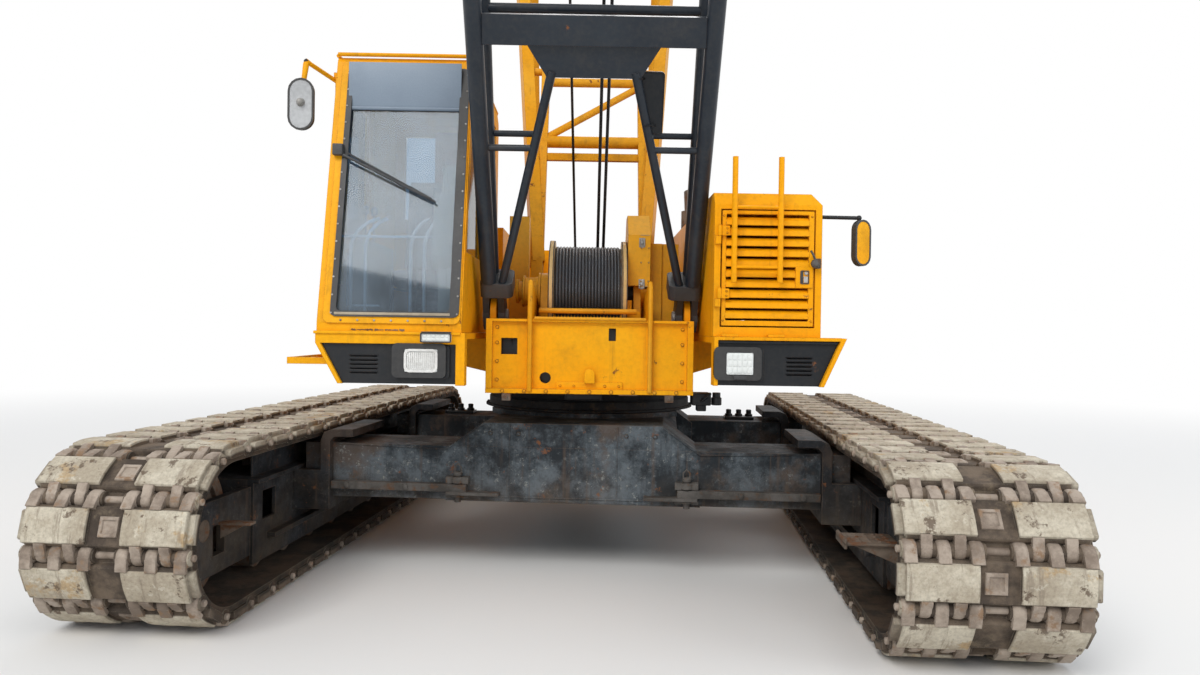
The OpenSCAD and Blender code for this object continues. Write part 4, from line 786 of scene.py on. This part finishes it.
# Rails inside the windscreen
b = Build("cab_guard_rails", "chrome")
for x, lean in ((-1.49, 0.16), (-1.4, 0.12), (-1.12, 0.1), (-1.035, 0.09)):
    b.tube([(x, -1.6, 1.66), (x, -1.6, 2.14), (x + lean * 0.2, -1.592, 2.22), (x + lean * 0.6, -1.57, 2.28),
            (x + lean, -1.54, 2.31)], 0.011)
for x0, x1, z in ((-1.56, -0.97, 2.19), (-1.49, -1.31, 1.76)):
    b.tube([(x0, -1.6, z), (x1, -1.6, z)], 0.008)
b.done(60)

# Blind, coloured grey-blue as painted reflection of the sky in the top of the windscreen; rear lining and
# locker
b = Build("cab_blind_sky_reflection", "blind")
b.box((-1.545, -1.5, 3.02), (-0.835, -1.49, 3.3))
b.tube([(-1.55, -1.495, 3.01), (-0.83, -1.495, 3.01)], 0.012).done()
b = Build("cab_rear_lining", "red")
b.box((-1.25, -0.1, 2.55), (-0.83, -0.07, 3.18), 0.01)
b.box((-1.22, -0.12, 2.62), (-0.86, -0.1, 3.1), 0.012).done()
b = Build("cab_side_locker", "beige")
b.prism([(-1.64, 2.08), (-1.6, 2.0), (-1.3, 2.0), (-1.3, 2.47), (-1.575, 2.47)], 0, -0.985, -0.835, 0.01)
b.box((-0.9, -1.6, 1.665), (-0.835, -1.5, 2.02), 0.006)
for z in (2.12, 2.38):
    b.bolt((-0.96, -1.62, z), (0, -1, 0), 0.006, 0.004)
b.done()

# Levers and pedals
KNOB = [(0, 0.008), (0.01, 0.02), (0.04, 0.024), (0.06, 0.012)]
b = Build("cab_levers", "trim")
for i, x in enumerate((-1.545, -1.505, -0.93, -0.885)):
    y = -1.05 + 0.06 * (i % 2)
    b.tube([(x, y, 2.18), (x + 0.005, y - 0.02, 2.34), (x + 0.01, y - 0.03, 2.4)], 0.007, 6)
    b.lathe((x + 0.01, y - 0.03, 2.39), (x + 0.012, y - 0.035, 2.46), KNOB, 12)
for x in (-1.28, -1.12):
    b.box((x - 0.05, -1.58, 1.665), (x + 0.05, -1.42, 1.69), 0.006, Matrix.Rotation(0.35, 4, "X"))
    b.tube([(x, -1.45, 1.67), (x, -1.4, 2.0)], 0.008, 6)
b.done()


# Seat: cushions swelled by a cloth simulation
PRESSURE, FRAMES, GRID, ROUNDING = 4.0, 20, 0.012, 0.22
SEAM_WIDTH, SEAM_DEPTH, SEAMS = 0.009, 0.007, (0.22, 0.5, 0.78)


def baked(o):
    """The object's mesh with its modifiers applied, and none left."""
    me = bpy.data.meshes.new_from_object(o.evaluated_get(bpy.context.evaluated_depsgraph_get()))
    old = o.data
    o.modifiers.clear()
    o.data = me
    bpy.data.meshes.remove(old)


def swell(o, cap):
    """Blows a cushion up by a cloth simulation, by cap at the most."""
    start = [q.co.copy() for q in o.data.vertices]
    cloth = o.modifiers.new("swell", "CLOTH").settings
    cloth.use_pressure = True
    cloth.uniform_pressure_force = PRESSURE
    cloth.effector_weights.gravity = 0.0
    cloth.quality = 5
    for f in range(1, FRAMES + 1):
        scene.frame_set(f)
    baked(o)
    for q, was in zip(o.data.vertices, start):
        move = q.co - was
        if move.length > cap:
            q.co = was + move * (cap / move.length)
    scene.frame_set(1)


def cushion(name, place, size, cap):
    """Crowned pad made at the origin and put in place, with sewn seams at shares of its width."""
    b = block((0, 0, 0), size)
    bevel(b, min(size) * ROUNDING, 3, 0.5)
    o = solid(name, b)
    grid = o.modifiers.new("grid", "REMESH")
    grid.mode = "VOXEL"
    grid.voxel_size = GRID
    baked(o)
    swell(o, cap)
    soft = o.modifiers.new("soft", "SUBSURF")
    soft.levels = soft.render_levels = 1
    baked(o)
    for q in o.data.vertices:
        if q.co.z > 0.5 * size[2]:
            sunk = sum(exp(-((q.co.x - k * size[0]) / SEAM_WIDTH) ** 2) for k in SEAMS)
            q.co.z -= SEAM_DEPTH * min(1.0, sunk)
    o.data.transform(place)
    smooth(o.data)
    o.data.materials.clear()
    o.data.materials.append(MATERIALS["seat"])
    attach(o, "upper_works")
    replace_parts(o, "cab_seat")


cushion("seat_cushion", Matrix.Translation((-1.402, -0.932, 1.916)), (0.404, 0.414, 0.108), 0.012)
LEAN = Matrix(((-1, 0, 0, -1.008), (0, 0.1907, -0.9816, -0.499), (0, 0.9816, 0.1907, 2.048), (0, 0, 0, 1)))
cushion("seat_back", LEAN, (0.384, 0.66, 0.05), 0.01)

# Pedestal with a folded bellows, and the shell behind the cushions
FOLDS, FOLD_Z, FOLD_STEP, FOLD_IN = 11, 1.664, 0.022, 0.012
b = Build("seat_pedestal", "rubber")
rows = []
for k in range(FOLDS):
    t = FOLD_IN if k % 2 else 0.0
    outline = rounded(-1.298 + t, -1.102 - t, -0.848 + t, -0.602 - t, 0.03)
    rows.append(b.row((x, y, FOLD_Z + FOLD_STEP * k) for x, y in outline))
skin(b.bm, rows)
b.box((-1.3, -0.85, 1.642), (-1.1, -0.6, 1.66))
b.prism([(-0.915, 1.89), (-0.502, 1.89), (-0.486, 1.908), (-0.482, 2.03), (-0.346, 2.735), (-0.354, 2.735),
         (-0.49, 2.03), (-0.494, 1.912), (-0.506, 1.903), (-0.915, 1.903)], 0, -1.385, -1.015, 0.003)
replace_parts(b.done(25), "cab_seat")


# Cab front
b = Build("windscreen_surround", "yellow")
window(b, (-1.6, -0.779, 1.65, 3.322, 0.04), (-1.545, -0.836, 1.7, 3.268, 0.04), screen, 0.001, 0.01)
b.done(30)
b = Build("windscreen_gasket", "rubber")
window(b, (-1.556, -0.787, 1.69, 3.28, 0.035), (-1.522, -0.845, 1.722, 3.25, 0.03), screen, 0.004, 0.018)
b.done(30)
b = Build("windscreen_sill", "beige")
b.box(screen(-1.53, 1.7, 0.021), screen(-0.84, 1.716, 0.01), 0.003).done()
UP, UP_STEP, ALONG, ALONG_STEP = 15, 0.109, 7, 0.1
RIVET = [(0, 0.0065), (0.004, 0.0065), (0.0065, 0.003)]
b = Build("windscreen_rivets", "bright")
forward = Vector((0, -1, SLOPE))
upright = [screen(x, 1.71 + k * UP_STEP, 0.017) for k in range(UP) for x in (-1.549, -0.798)]
level = [screen(-1.49 + k * ALONG_STEP, z, 0.012) for k in range(ALONG) for z in (1.668, 3.304)]
for p in upright + level:
    b.lathe(p, p + forward, RIVET, 8)
b.done(30)

# Rust under the windscreen
RUST_START, RUST_END, RUST_Z, STEPS = -1.43, -1.12, 1.612, 8
b = Build("cab_rust_marks", "rusty")
x = RUST_START
while x < RUST_END:
    w = random.uniform(0.02, 0.05)
    h = random.uniform(0.004, 0.01)
    top = [(x + w * k / STEPS, RUST_Z + random.uniform(0.3, 1.0) * h) for k in range(STEPS + 1)]
    low = [(x + w * k / STEPS, RUST_Z - random.uniform(0.3, 1.0) * h) for k in range(STEPS, -1, -1)]
    plate(b, low + top, facing(CAB_Y), -0.001, 0.0008)
    x += w + random.uniform(-0.004, 0.012)
b.done(30)

# Lip under the windscreen, roof gutter and handles
b = Build("cab_trims", "yellow")
b.box((-1.645, -1.835, 1.585), (-0.772, -1.8, 1.603), 0.005)
for x, end in ((-1.635, -1.6), (-0.775, -0.8)):
    b.tube([(x, -1.42, 3.36), (x, 0.0, 3.36), (end, 0.085, 3.33)], 0.012)
b.tube([(-1.63, -1.435, 3.365), (-0.775, -1.435, 3.365)], 0.013)
b.box((-1.5, -1.25, 3.348), (-0.92, -0.65, 3.372), 0.008)
b.done()

b = Build("cab_grab_bars", "black")
bow = ((-1.64, 1.95), (-1.675, 1.96), (-1.685, 2.02), (-1.685, 2.62), (-1.675, 2.68), (-1.64, 2.69))
b.tube([(x, -1.38, z) for x, z in bow], 0.011)
b.tube([(-1.1, 0.1, 2.0), (-1.1, 0.14, 2.02), (-1.1, 0.14, 2.38), (-1.1, 0.1, 2.4)], 0.011)
b.done()

b = Build("door_handle", "trim", "cab_door")
b.box((-1.69, -0.7, 2.26), (-1.672, -0.62, 2.42))
b.tube([(-1.675, -0.66, 2.28), (-1.705, -0.66, 2.285), (-1.705, -0.66, 2.39), (-1.675, -0.66, 2.4)], 0.008)
b.done()


# Door fittings
def door_side(y, z, off):
    """A point on the cab door, off metres outside it."""
    return Vector((-1.673 - off, y, z))


b = Build("door_gaskets", "rubber", "cab_door")
for z0, z1 in ((2.22, 3.16), (1.77, 2.12)):
    window(b, (-1.285, -0.655, z0 - 0.005, z1 + 0.005, 0.03), (-1.258, -0.682, z0 + 0.022, z1 - 0.022, 0.025),
           door_side, -0.004, 0.006)
b.done()
b = Build("door_rollers", "dark_steel", "cab_door")
for y in (-1.25, -0.7):
    b.box((-1.672, y - 0.05, 3.2), (-1.66, y + 0.05, 3.236), 0.003)
    for dy in (-0.03, 0.03):
        b.bolt((-1.673, y + dy, 3.215), (-1, 0, 0), 0.008, 0.006)
b.done()

# Headlamps and aprons
LEFT_LAMP, RIGHT_LAMP, LED_BAR = -1.84, -1.82, -1.865
b = Build("lamp_frames", "rubber", slot="black_paint")
for y, x0, x1, z0, z1 in ((LEFT_LAMP, -1.1, -0.905, 1.365, 1.5), (RIGHT_LAMP, 0.82, 0.98, 1.375, 1.505)):
    window(b, (x0 - 0.075, x1 + 0.05, z0 - 0.035, z1 + 0.035, 0.03),
           (x0 - 0.004, x1 + 0.004, z0 - 0.004, z1 + 0.004, 0.02), facing(y), -0.035, 0.004)
b.done(30)
b = Build("lamp_rims", "chrome")
window(b, (-1.102, -0.903, 1.363, 1.502, 0.03), (-1.088, -0.917, 1.377, 1.488, 0.022), facing(LEFT_LAMP),
       -0.002, 0.01)
b.done(30)
RIBS, RIB_STEP = 15, 0.0117
b = Build("lamp_reflector", "chrome")
for x in (-1.085 + k * RIB_STEP for k in range(RIBS)):
    b.box((x, -1.8445, 1.38), (x + 0.0085, -1.8395, 1.485), 0.0016)
b.done(30)
LED_GAP = 0.003
b = Build("led_arrays", "lens")
for y, x0, x1, z0, z1, nx, nz in ((RIGHT_LAMP, 0.826, 0.974, 1.381, 1.499, 5, 3),
                                  (LED_BAR, -0.993, -0.832, 1.549, 1.591, 6, 2)):
    sx, sz = (x1 - x0) / nx, (z1 - z0) / nz
    for i in range(nx):
        for j in range(nz):
            x, z = x0 + i * sx, z0 + j * sz
            b.box((x + LED_GAP, y - 0.004, z + LED_GAP), (x + sx - LED_GAP, y + 0.002, z + sz - LED_GAP), 0.003)
b.done(30)
SLATS, SLAT_STEP = 5, 0.025
b = Build("vent_backs", "black")
b.box((-1.45, -1.7695, 1.335), (-1.25, -1.764, 1.475), 0.001)
b.box((1.17, -1.7495, 1.355), (1.36, -1.744, 1.495), 0.001)
for x0, x1, y, low in ((-1.436, -1.264, -1.806, 1.35), (1.184, 1.346, -1.782, 1.37)):
    for z in (low + SLAT_STEP * i for i in range(SLATS)):
        slat = [(y - 0.004, z + 0.011), (y + 0.001, z + 0.013), (y + 0.012, z + 0.004), (y + 0.008, z + 0.002)]
        b.prism(slat, 0, x0, x1)
b.done(30)
b = Build("apron_edges", "yellow")
b.box((0.765, -1.792, 1.581), (1.52, -1.752, 1.602), 0.005)
for x in (0.84, 1.12):
    b.box((x - 0.05, -1.8, 1.6), (x + 0.05, -1.755, 1.616), 0.003)
b.done(30)
b = Build("apron_rims", "black")
for x0, x1, z0, z1, y in ((-1.155, -0.835, 1.325, 1.522, -1.806), (0.775, 1.045, 1.335, 1.535, -1.783)):
    window(b, (x0, x1, z0, z1, 0.02), (x0 + 0.03, x1 - 0.03, z0 + 0.022, z1 - 0.022, 0.02), facing(y),
           -0.002, 0.018)
b.prism([(1.49, 1.56), (1.498, 1.577), (0.775, 1.577), (0.775, 1.56)], 1, -1.8, -1.781, 0.004)
b.done(30)
b = Build("led_housings", "trim")
window(b, (-1.004, -0.821, 1.541, 1.599, 0.008), (-0.996, -0.829, 1.548, 1.592, 0.004), facing(LED_BAR),
       -0.004, 0.007)
b.box((-1.0, -1.868, 1.6), (-0.825, -1.83, 1.606), 0.002)
b.box((0.86, -1.835, 1.345), (0.94, -1.8, 1.371), 0.003)
b.done(30)

# Mirrors
LEFT_MIRROR = Vector((-1.795, -1.647, 2.99))
RIGHT_MIRROR = Vector((1.645, -1.69, 2.185))
MIRROR_TURN = radians(25)


def on_left_mirror(x, z, off):
    """A point on the left mirror, off metres in front of it."""
    return LEFT_MIRROR + Vector((x, -off, z))


def on_right_mirror(x, z, off):
    """A point on the right mirror, which is turned about the upright."""
    c, s = cos(MIRROR_TURN), sin(MIRROR_TURN)
    return RIGHT_MIRROR + Vector((x * c + off * s, x * s - off * c, z))


b = Build("mirror_rims", "rubber")
frame_ring(b, oval(0.16, 0.32), oval(0.136, 0.296), on_left_mirror, -0.01, 0.006)
frame_ring(b, oval(0.122, 0.284), oval(0.098, 0.26), on_right_mirror, -0.004, 0.036)
b.done(40)
b = Build("mirror_backs", "silver")
plate(b, oval(0.146, 0.306), on_left_mirror, -0.004, 0.003)
b.done(40)
b = Build("mirror_arm_left", "yellow")
b.tube([(-1.648, -1.398, 3.2), (-1.76, -1.585, 3.2547), (-1.775, -1.61, 3.262), (-1.7765, -1.6115, 3.247),
        (-1.789, -1.6233, 3.12)], [0.0145, 0.0145, 0.0185, 0.0185, 0.0145], 10)
b.box((-1.65, -1.428, 3.168), (-1.634, -1.368, 3.232))
b.done(60)
b = Build("mirror_back_right", "yellow")
plate(b, oval(0.108, 0.268), on_right_mirror, 0.028, 0.034)
b.done(40)
b = Build("mirror_ball", "bright")
b.lathe(on_left_mirror(0, 0.01, 0), on_left_mirror(0, 0.01, 1),
        [(0, 0.026), (0.006, 0.026), (0.014, 0.02), (0.024, 0.021), (0.034, 0.014), (0.04, 0.004)], 16)
b.done(50)

# Deck edge and revolving frame
FRONT_BOLTS, FRONT_STEP, SIDE_BOLTS, SIDE_STEP = 9, 0.14, 14, 0.31
b = Build("frame_bolts", "yellow_old")
for k in range(FRONT_BOLTS):
    b.bolt((-0.56 + k * FRONT_STEP, -1.42, 1.23), (0, -1, 0), 0.011)
for s in (-1, 1):
    for z in (1.3, 1.42, 1.54, 1.64):
        b.bolt((s * 0.6, -1.381, z), (0, -1, 0), 0.01)
    for k in range(SIDE_BOLTS):
        b.bolt((s * 0.671, -1.25 + k * SIDE_STEP, 1.27), (s, 0, 0), 0.013)
b.done()

b = Build("frame_lips", "yellow_old")
for s in (-1, 1):
    # Rolled edge of the inner rib and stiffener at the foot bracket
    rolled = ((-1.425, 1.23), (-1.428, 1.6), (-1.424, 1.9), (-1.4, 1.934), (-1.33, 1.934))
    b.tube([(s * 0.3875, y, z) for y, z in rolled], 0.016)
    b.lathe((s * 0.63, -1.05, 1.72), (s * 0.722, -1.05, 1.72), [(0, 0.075), (0.088, 0.075), (0.092, 0.07)])
    x0, x1 = sorted((s * 0.645, s * 0.668))
    b.box((x0, -1.405, 1.235), (x1, -1.38, 1.655))
    b.box((x0, -1.402, 1.236), (x1, -1.2, 1.245), 0.003)
b.tube([(-0.36, -1.415, 1.7), (0.36, -1.415, 1.7)], 0.011)
b.box((-0.345, -1.06, 1.695), (0.345, -1.02, 1.76), 0.006)
b.tube([(-0.345, -1.18, 1.755), (0.31, -1.18, 1.755)], 0.018)
b.done()

LUG_R, LUG_Z = 0.034, 1.345
b = Build("front_lug", "yellow")
arch = [(LUG_R * cos(a), LUG_Z + LUG_R * sin(a)) for a in (pi * k / 8 for k in range(9))]
b.prism([(-LUG_R, 1.285), (LUG_R, 1.285)] + arch, 1, -1.425, -1.39, 0.004)
b.box((-0.215, -1.39, 1.24), (0.215, -1.381, 1.292), 0.003)
for x in (-0.19, -0.1, 0.1, 0.19):
    b.bolt((x, -1.39, 1.266), (0, -1, 0), 0.007, 0.005)
b.done()

# Black sheet behind the holes in the frame's front plate: painted shade in the holes; a hose lies on it
b = Build("frame_shade_sheet", "black")
b.box((-0.58, -1.343, 1.27), (0.58, -1.336, 1.655), 0.002)
b.tube([(-0.5, -1.34, 1.6), (-0.5, -1.325, 1.5), (-0.42, -1.32, 1.42)], 0.014)
b.done()

b = Build("frame_clamps", "rusty")
for x in (-0.535, 0.515):
    b.box((x - 0.028, -1.432, 1.168), (x + 0.028, -1.375, 1.214))
    b.bolt((x, -1.432, 1.19), (0, -1, 0), 0.01)
b.box((0.19, -1.424, 1.208), (0.31, -1.36, 1.214), 0.002)
b.done()

# Housing of the drum's shaft between the stand and the boom foot
b = Build("drum_shaft_housing", "gearbox")
axis_y, axis_z, _ = DRUMS["front_drum"]
b.lathe((-0.352, axis_y, axis_z), (-1, axis_y, axis_z),
        [(0, 0.132), (0.016, 0.132), (0.02, 0.106), (0.05, 0.098), (0.11, 0.098), (0.114, 0.112),
         (0.128, 0.112), (0.132, 0.072), (0.156, 0.072), (0.158, 0.088), (0.178, 0.084)], 32)
for a in (pi * k / 4 for k in range(8)):
    b.bolt((-0.48, axis_y + 0.101 * cos(a), axis_z + 0.101 * sin(a)), (-1, 0, 0), 0.007, 0.008)
b.done()

# Seams of the gear cover
b = Build("gear_cover_seams", "flange")
b.box((0.338, -1.014, 1.932), (0.402, -1.006, 1.941), 0.002)
b.box((0.338, -1.014, 2.285), (0.402, -0.985, 2.292), 0.002)
for x in (0.346, 0.398):
    for z in (1.97, 2.1, 2.2):
        b.bolt((x, -1.011, z), (0, -1, 0), 0.005, 0.004)
b.done()

# Louvred front door, with the blades as wide apart as in the photograph
LEAF, OPENING, LEAF_Y = (0.793, 1.352, 1.668, 2.367, 0.005), (0.818, 1.32, 1.7, 2.345, 0.005), -1.75
BLADES, BLADE_Z, BLADE_STEP = 10, 1.714, 0.0628
b = Build("house_door_leaf", "yellow", "house_door")
window(b, LEAF, OPENING, facing(LEAF_Y), -0.03, 0.0)
for i in range(BLADES):
    z = BLADE_Z + BLADE_STEP * i
    blade = [(-1.7555, z), (-1.7515, z - 0.0025), (-1.722, z + 0.047), (-1.726, z + 0.05), (-1.749, z + 0.03)]
    b.prism(blade, 0, OPENING[0] - 0.002, OPENING[1] + 0.002)
b.box((1.24, -1.7585, 1.902), (1.346, -1.726, 2.03), 0.003)
for z in (1.832, 2.212):
    b.lathe((0.777, -1.767, z), (0.777, -1.767, z + 0.06),
            [(0, 0.012), (0.002, 0.013), (0.058, 0.013), (0.06, 0.012)], 16)
    b.box((0.777, -1.771, z), (0.837, -1.7545, z + 0.06), 0.002)
    b.box((0.797, -1.76, z + 0.002), (0.837, -1.749, z + 0.058), 0.001)
    for k in (0.016, 0.044):
        b.bolt((0.82, -1.771, z + k), (0, -1, 0), 0.005, 0.004)
for x in (0.802, 1.338):
    for z in (1.7, 2.335):
        b.bolt((x, -1.75, z), (0, -1, 0), 0.005, 0.004)
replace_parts(b.done(30), "house_door")
b = Build("house_latch", "trim", "house_door")
window(b, (1.268, 1.322, 1.925, 2.008, 0.008), (1.274, 1.316, 1.931, 2.002, 0.006), facing(-1.7585),
       -0.001, 0.004)
b.box((1.274, -1.76, 1.932), (1.287, -1.758, 2.001), 0.001)
b.done(30)
b = Build("house_latch_lever", "bright", "house_door")
b.box((1.289, -1.7625, 1.934), (1.314, -1.758, 1.972), 0.002)
b.lathe((1.302, -1.77, 1.99), (1.302, -1.755, 1.99), [(0, 0.009), (0.003, 0.011), (0.014, 0.011)], 14)
b.done()
b = Build("house_door_stay", "dark_steel")
b.box((1.356, -1.785, 2.02), (1.388, -1.752, 2.08), 0.006)
b.lathe((1.352, -1.812, 2.048), (1.352, -1.764, 2.048),
        [(0, 0.014), (0.01, 0.026), (0.026, 0.028), (0.034, 0.02), (0.048, 0.016)], 16)
b.tube([(1.352, -1.785, 2.07), (1.335, -1.8, 2.1), (1.325, -1.785, 2.125)], 0.007, 6)
b.done()

# Latches of the gear cover
b = Build("cover_latches", "bright")
for z in (2.235, 1.95):
    b.box((0.33, -1.012, z - 0.03), (0.372, -1.008, z + 0.035), 0.002)
    bow = ((0.335, -1.016, 0.03), (0.335, -1.026, -0.02), (0.351, -1.028, -0.036), (0.367, -1.026, -0.02),
           (0.367, -1.016, 0.03))
    b.tube([(x, y, z + dz) for x, y, dz in bow], 0.0035, 6)
    b.lathe((0.351, -1.012, z), (0.351, -1.03, z), [(0, 0.01), (0.012, 0.01), (0.014, 0.006)], 10)
b.done()

# Pressed vents on the side doors
VENTS, VENT_STEP, VENT_HALF, VENT_LOW = 7, 0.05, 0.17, 0.42
for name, out, face in (("side_door_rear", 1, 1.4), ("side_door_front", 1, 1.4), ("house_left_door", -1, -1.6)):
    lo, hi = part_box(name)
    b = Build(name + "_vents", "yellow", name)
    mid = (lo[1] + hi[1]) / 2
    for k in range(VENTS):
        z = lo[2] + VENT_LOW * (hi[2] - lo[2]) + VENT_STEP * k
        b.prism([(face - out * 0.001, z), (face + out * 0.01, z + 0.003), (face + out * 0.008, z + 0.012),
                 (face - out * 0.001, z + 0.034)], 1, mid - VENT_HALF, mid + VENT_HALF)
    b.done(40)

# Slew ring
RING_R, RING_SEAM = 0.795, 1.118
b = Build("ring_guard", "grease", "undercarriage")
b.lathe((0, 0, 1.034), (0, 0, RING_SEAM - 0.006),
        [(0, 0.79), (0.001, RING_R + 0.028), (0.014, RING_R + 0.028), (0.02, RING_R), (0.07, RING_R),
         (0.077, 0.786), (0.078, 0.74)], 96)
BOLTS, BOLT_R = 40, 0.812
for a in (2 * pi * (k + 0.5) / BOLTS for k in range(BOLTS)):
    b.bolt((BOLT_R * cos(a), BOLT_R * sin(a), 1.047), (0, 0, 1), 0.007, 0.008)
turned(b).done()
b = Build("ring_seal", "grease")
b.lathe((0, 0, RING_SEAM), (0, 0, 1.21),
        [(0, 0.742), (0.001, RING_R - 0.004), (0.01, RING_R + 0.002), (0.06, RING_R + 0.002),
         (0.064, RING_R + 0.014), (0.09, RING_R + 0.014), (0.092, 0.75)], 96)
b.done()
b = Build("ring_plate", "black")
b.box((-0.175, -0.842, 1.125), (0.095, -0.806, 1.188))
window(b, (-0.17, 0.09, 1.128, 1.185, 0.006), (-0.16, 0.08, 1.136, 1.178, 0.004), facing(-0.842),
       -0.001, 0.003)
b.done()

# Car body
FACE = 1.25
b = Build("body_seams", "under", "undercarriage")
for e in (-1, 1):
    y0, y1 = sorted((e * (FACE - 0.004), e * (FACE + 0.005)))
    for x in (0.3, -0.42):
        b.box((x - 0.004, y0, 0.49), (x + 0.004, y1, 0.99), 0.002)
    b.box((-0.83, y0, 0.5), (0.83, y1, 0.512), 0.002)
    for s in (-1, 1):
        for x in (0.36, 0.55):
            b.bolt((s * x, e * FACE, 0.93), (0, e, 0))
        b.tube([(s * x, e * FACE, z) for x, z in ((0.6, 0.992), (0.85, 0.815), (1.7, 0.842))], 0.008, 6)
turned(b).done()

# Blocks and hoses beside the slew ring
b = Build("swivel_blocks", "black")
b.box((0.7, -1.12, 1.125), (0.83, -0.98, 1.21), 0.01)
b.box((0.735, -1.1, 1.085), (0.8, -1.02, 1.13), 0.008)
b.lathe((0.875, -1.05, 1.125), (0.875, -1.05, 1.212),
        [(0, 0.03), (0.004, 0.036), (0.05, 0.036), (0.055, 0.028), (0.086, 0.028)], 18)
b.tube([(0.765, -1.12, 1.16), (0.765, -1.15, 1.16), (0.8, -1.165, 1.19), (0.82, -1.15, 1.212)], 0.01)
b.done()

# Steps on the side frames
b = Build("step_plates", "rusty", "undercarriage")
b.box((-1.845, -2.36, 0.52), (-1.66, -2.29, 0.535))
b.prism([(-1.7, 0.521), (-1.845, 0.521), (-1.845, 0.44)], 1, -2.333, -2.321)
b.box((1.56, -2.36, 0.52), (1.845, -2.12, 0.535))
b.box((1.56, -2.36, 0.5), (1.575, -2.12, 0.55))
for y in (-2.33, -2.16):
    b.prism([(1.6, 0.521), (1.845, 0.521), (1.845, 0.42)], 1, y - 0.006, y + 0.006)
for x in (1.6 + i * 0.05 for i in range(5)):
    for y in (-2.32 + j * 0.055 for j in range(4)):
        b.lathe((x, y, 0.534), (x, y, 0.542), [(0, 0.012), (0.004, 0.01), (0.006, 0.006)], 8)
turned(b).done()

# Pins of the lock bars
LOCK_PIN, PIN_OUT = 0.76, 0.03
b = Build("lock_pins", "dark_steel", "undercarriage", slot="worn_steel")
for s in (-1, 1):
    for e in (-1, 1):
        x, y = s * LOCK_PIN, e * (FACE + PIN_OUT)
        b.lathe((x, y, 0.645), (x, y, 0.715), [(0, 0.028), (0.012, 0.03), (0.02, 0.03), (0.028, 0.022)], 14)
        bow = ((-0.02, 0.66), (-0.022, 0.7), (0, 0.725), (0.022, 0.7), (0.02, 0.66))
        b.tube([(x + dx, y, z) for dx, z in bow], 0.006, 6)
        for z0, z1 in ((0.592, 0.64), (0.5, 0.519)):
            for dx in (-0.055, 0.055):
                b.box((x + dx - 0.022, y - 0.028, z0), (x + dx + 0.022, y + 0.034, z1), 0.005)
            b.lathe((x, y, z0 + 0.006), (x, y, z1 - 0.002), [(0, 0.044), (z1 - z0 - 0.008, 0.044)], 18)
        for dx in (0.35, 0.75):
            b.lathe((x + s * dx, y - e * 0.01, 0.565), (x + s * dx, y + e * 0.055, 0.565),
                    [(0, 0.026), (0.03, 0.026), (0.034, 0.02), (0.05, 0.02), (0.053, 0.014)], 12)
turned(b).done()

# Valves on the rear beam
b = Build("beam_valves", "black", "undercarriage")
for middle in (-1.28, 1.28):
    b.box((middle - 0.13, 0.9, 0.841), (middle + 0.13, 1.06, 0.868), 0.006)
    for x in (middle - 0.09, middle, middle + 0.09):
        b.lathe((x, 0.98, 0.866), (x, 0.98, 0.94),
                [(0, 0.034), (0.02, 0.034), (0.024, 0.024), (0.058, 0.024), (0.062, 0.014)], 14)
turned(b).done()

# Plate behind the right diagonal of the boom's foot
BEHIND, PLATE_RIGHT, PLATE_TOP, PLATE_HIGH, PLATE_LEAN = -0.163, 0.413, 1.68, 0.37, 0.46


def behind(x, w, off):
    """A point on the plate, off metres behind its front."""
    return boom(x, BEHIND + off, w)


def leaning(*sides):
    """Rounded rectangle whose left side leans to the right towards its foot."""
    outline = rounded(*sides)
    return [(x + (PLATE_RIGHT - x) * PLATE_LEAN * (PLATE_TOP - w) / PLATE_HIGH, w) for x, w in outline]


b = Build("boom_foot_plate", "black", "boom")
outline = leaning(0.255, PLATE_RIGHT, 1.31, PLATE_TOP, 0.022)
plate(b, outline, behind, 0.0, 0.01)
frame_ring(b, outline, leaning(0.262, 0.406, 1.317, 1.673, 0.018), behind, -0.006, 0.002)
for x, w in ((0.33, 1.37), (0.256, 1.64)):
    b.bolt(boom(x + 0.012, -0.152, w), boom(0, 1, 0) - FOOT, 0.008)
    b.tube([boom(x + 0.04, -0.155, w), boom(x + 0.04, -0.185, w), boom(x + 0.005, -0.218, w + 0.01),
            boom(x - 0.03, -0.195, w)], 0.004, 6)
b.done(40)

# Lifting eyes and bolts of the counterweight
EYE_X, EYE = 1.1, ((-0.06, 2.6), (-0.05, 2.66), (0, 2.69), (0.05, 2.66), (0.06, 2.6))
b = Build("tail_fittings", "yellow_old")
for s in (-1, 1):
    x = s * EYE_X
    for y in (3.25, 3.75):
        b.box((x - 0.02, y - 0.08, 2.555), (x + 0.02, y + 0.08, 2.6))
        b.tube([(x, y + dy, z) for dy, z in EYE], 0.016)
    for z in (1.4, 1.8, 2.1, 2.42):
        b.bolt((s * 0.9, 4.05, z), (s * 0.3, 1, 0), 0.03, 0.03)
        b.bolt((s * 0.5, 4.118, z), (s * 0.15, 1, 0), 0.03, 0.03)
b.done()

# Standard view transform, then the end
scene.view_settings.view_transform = "Standard"
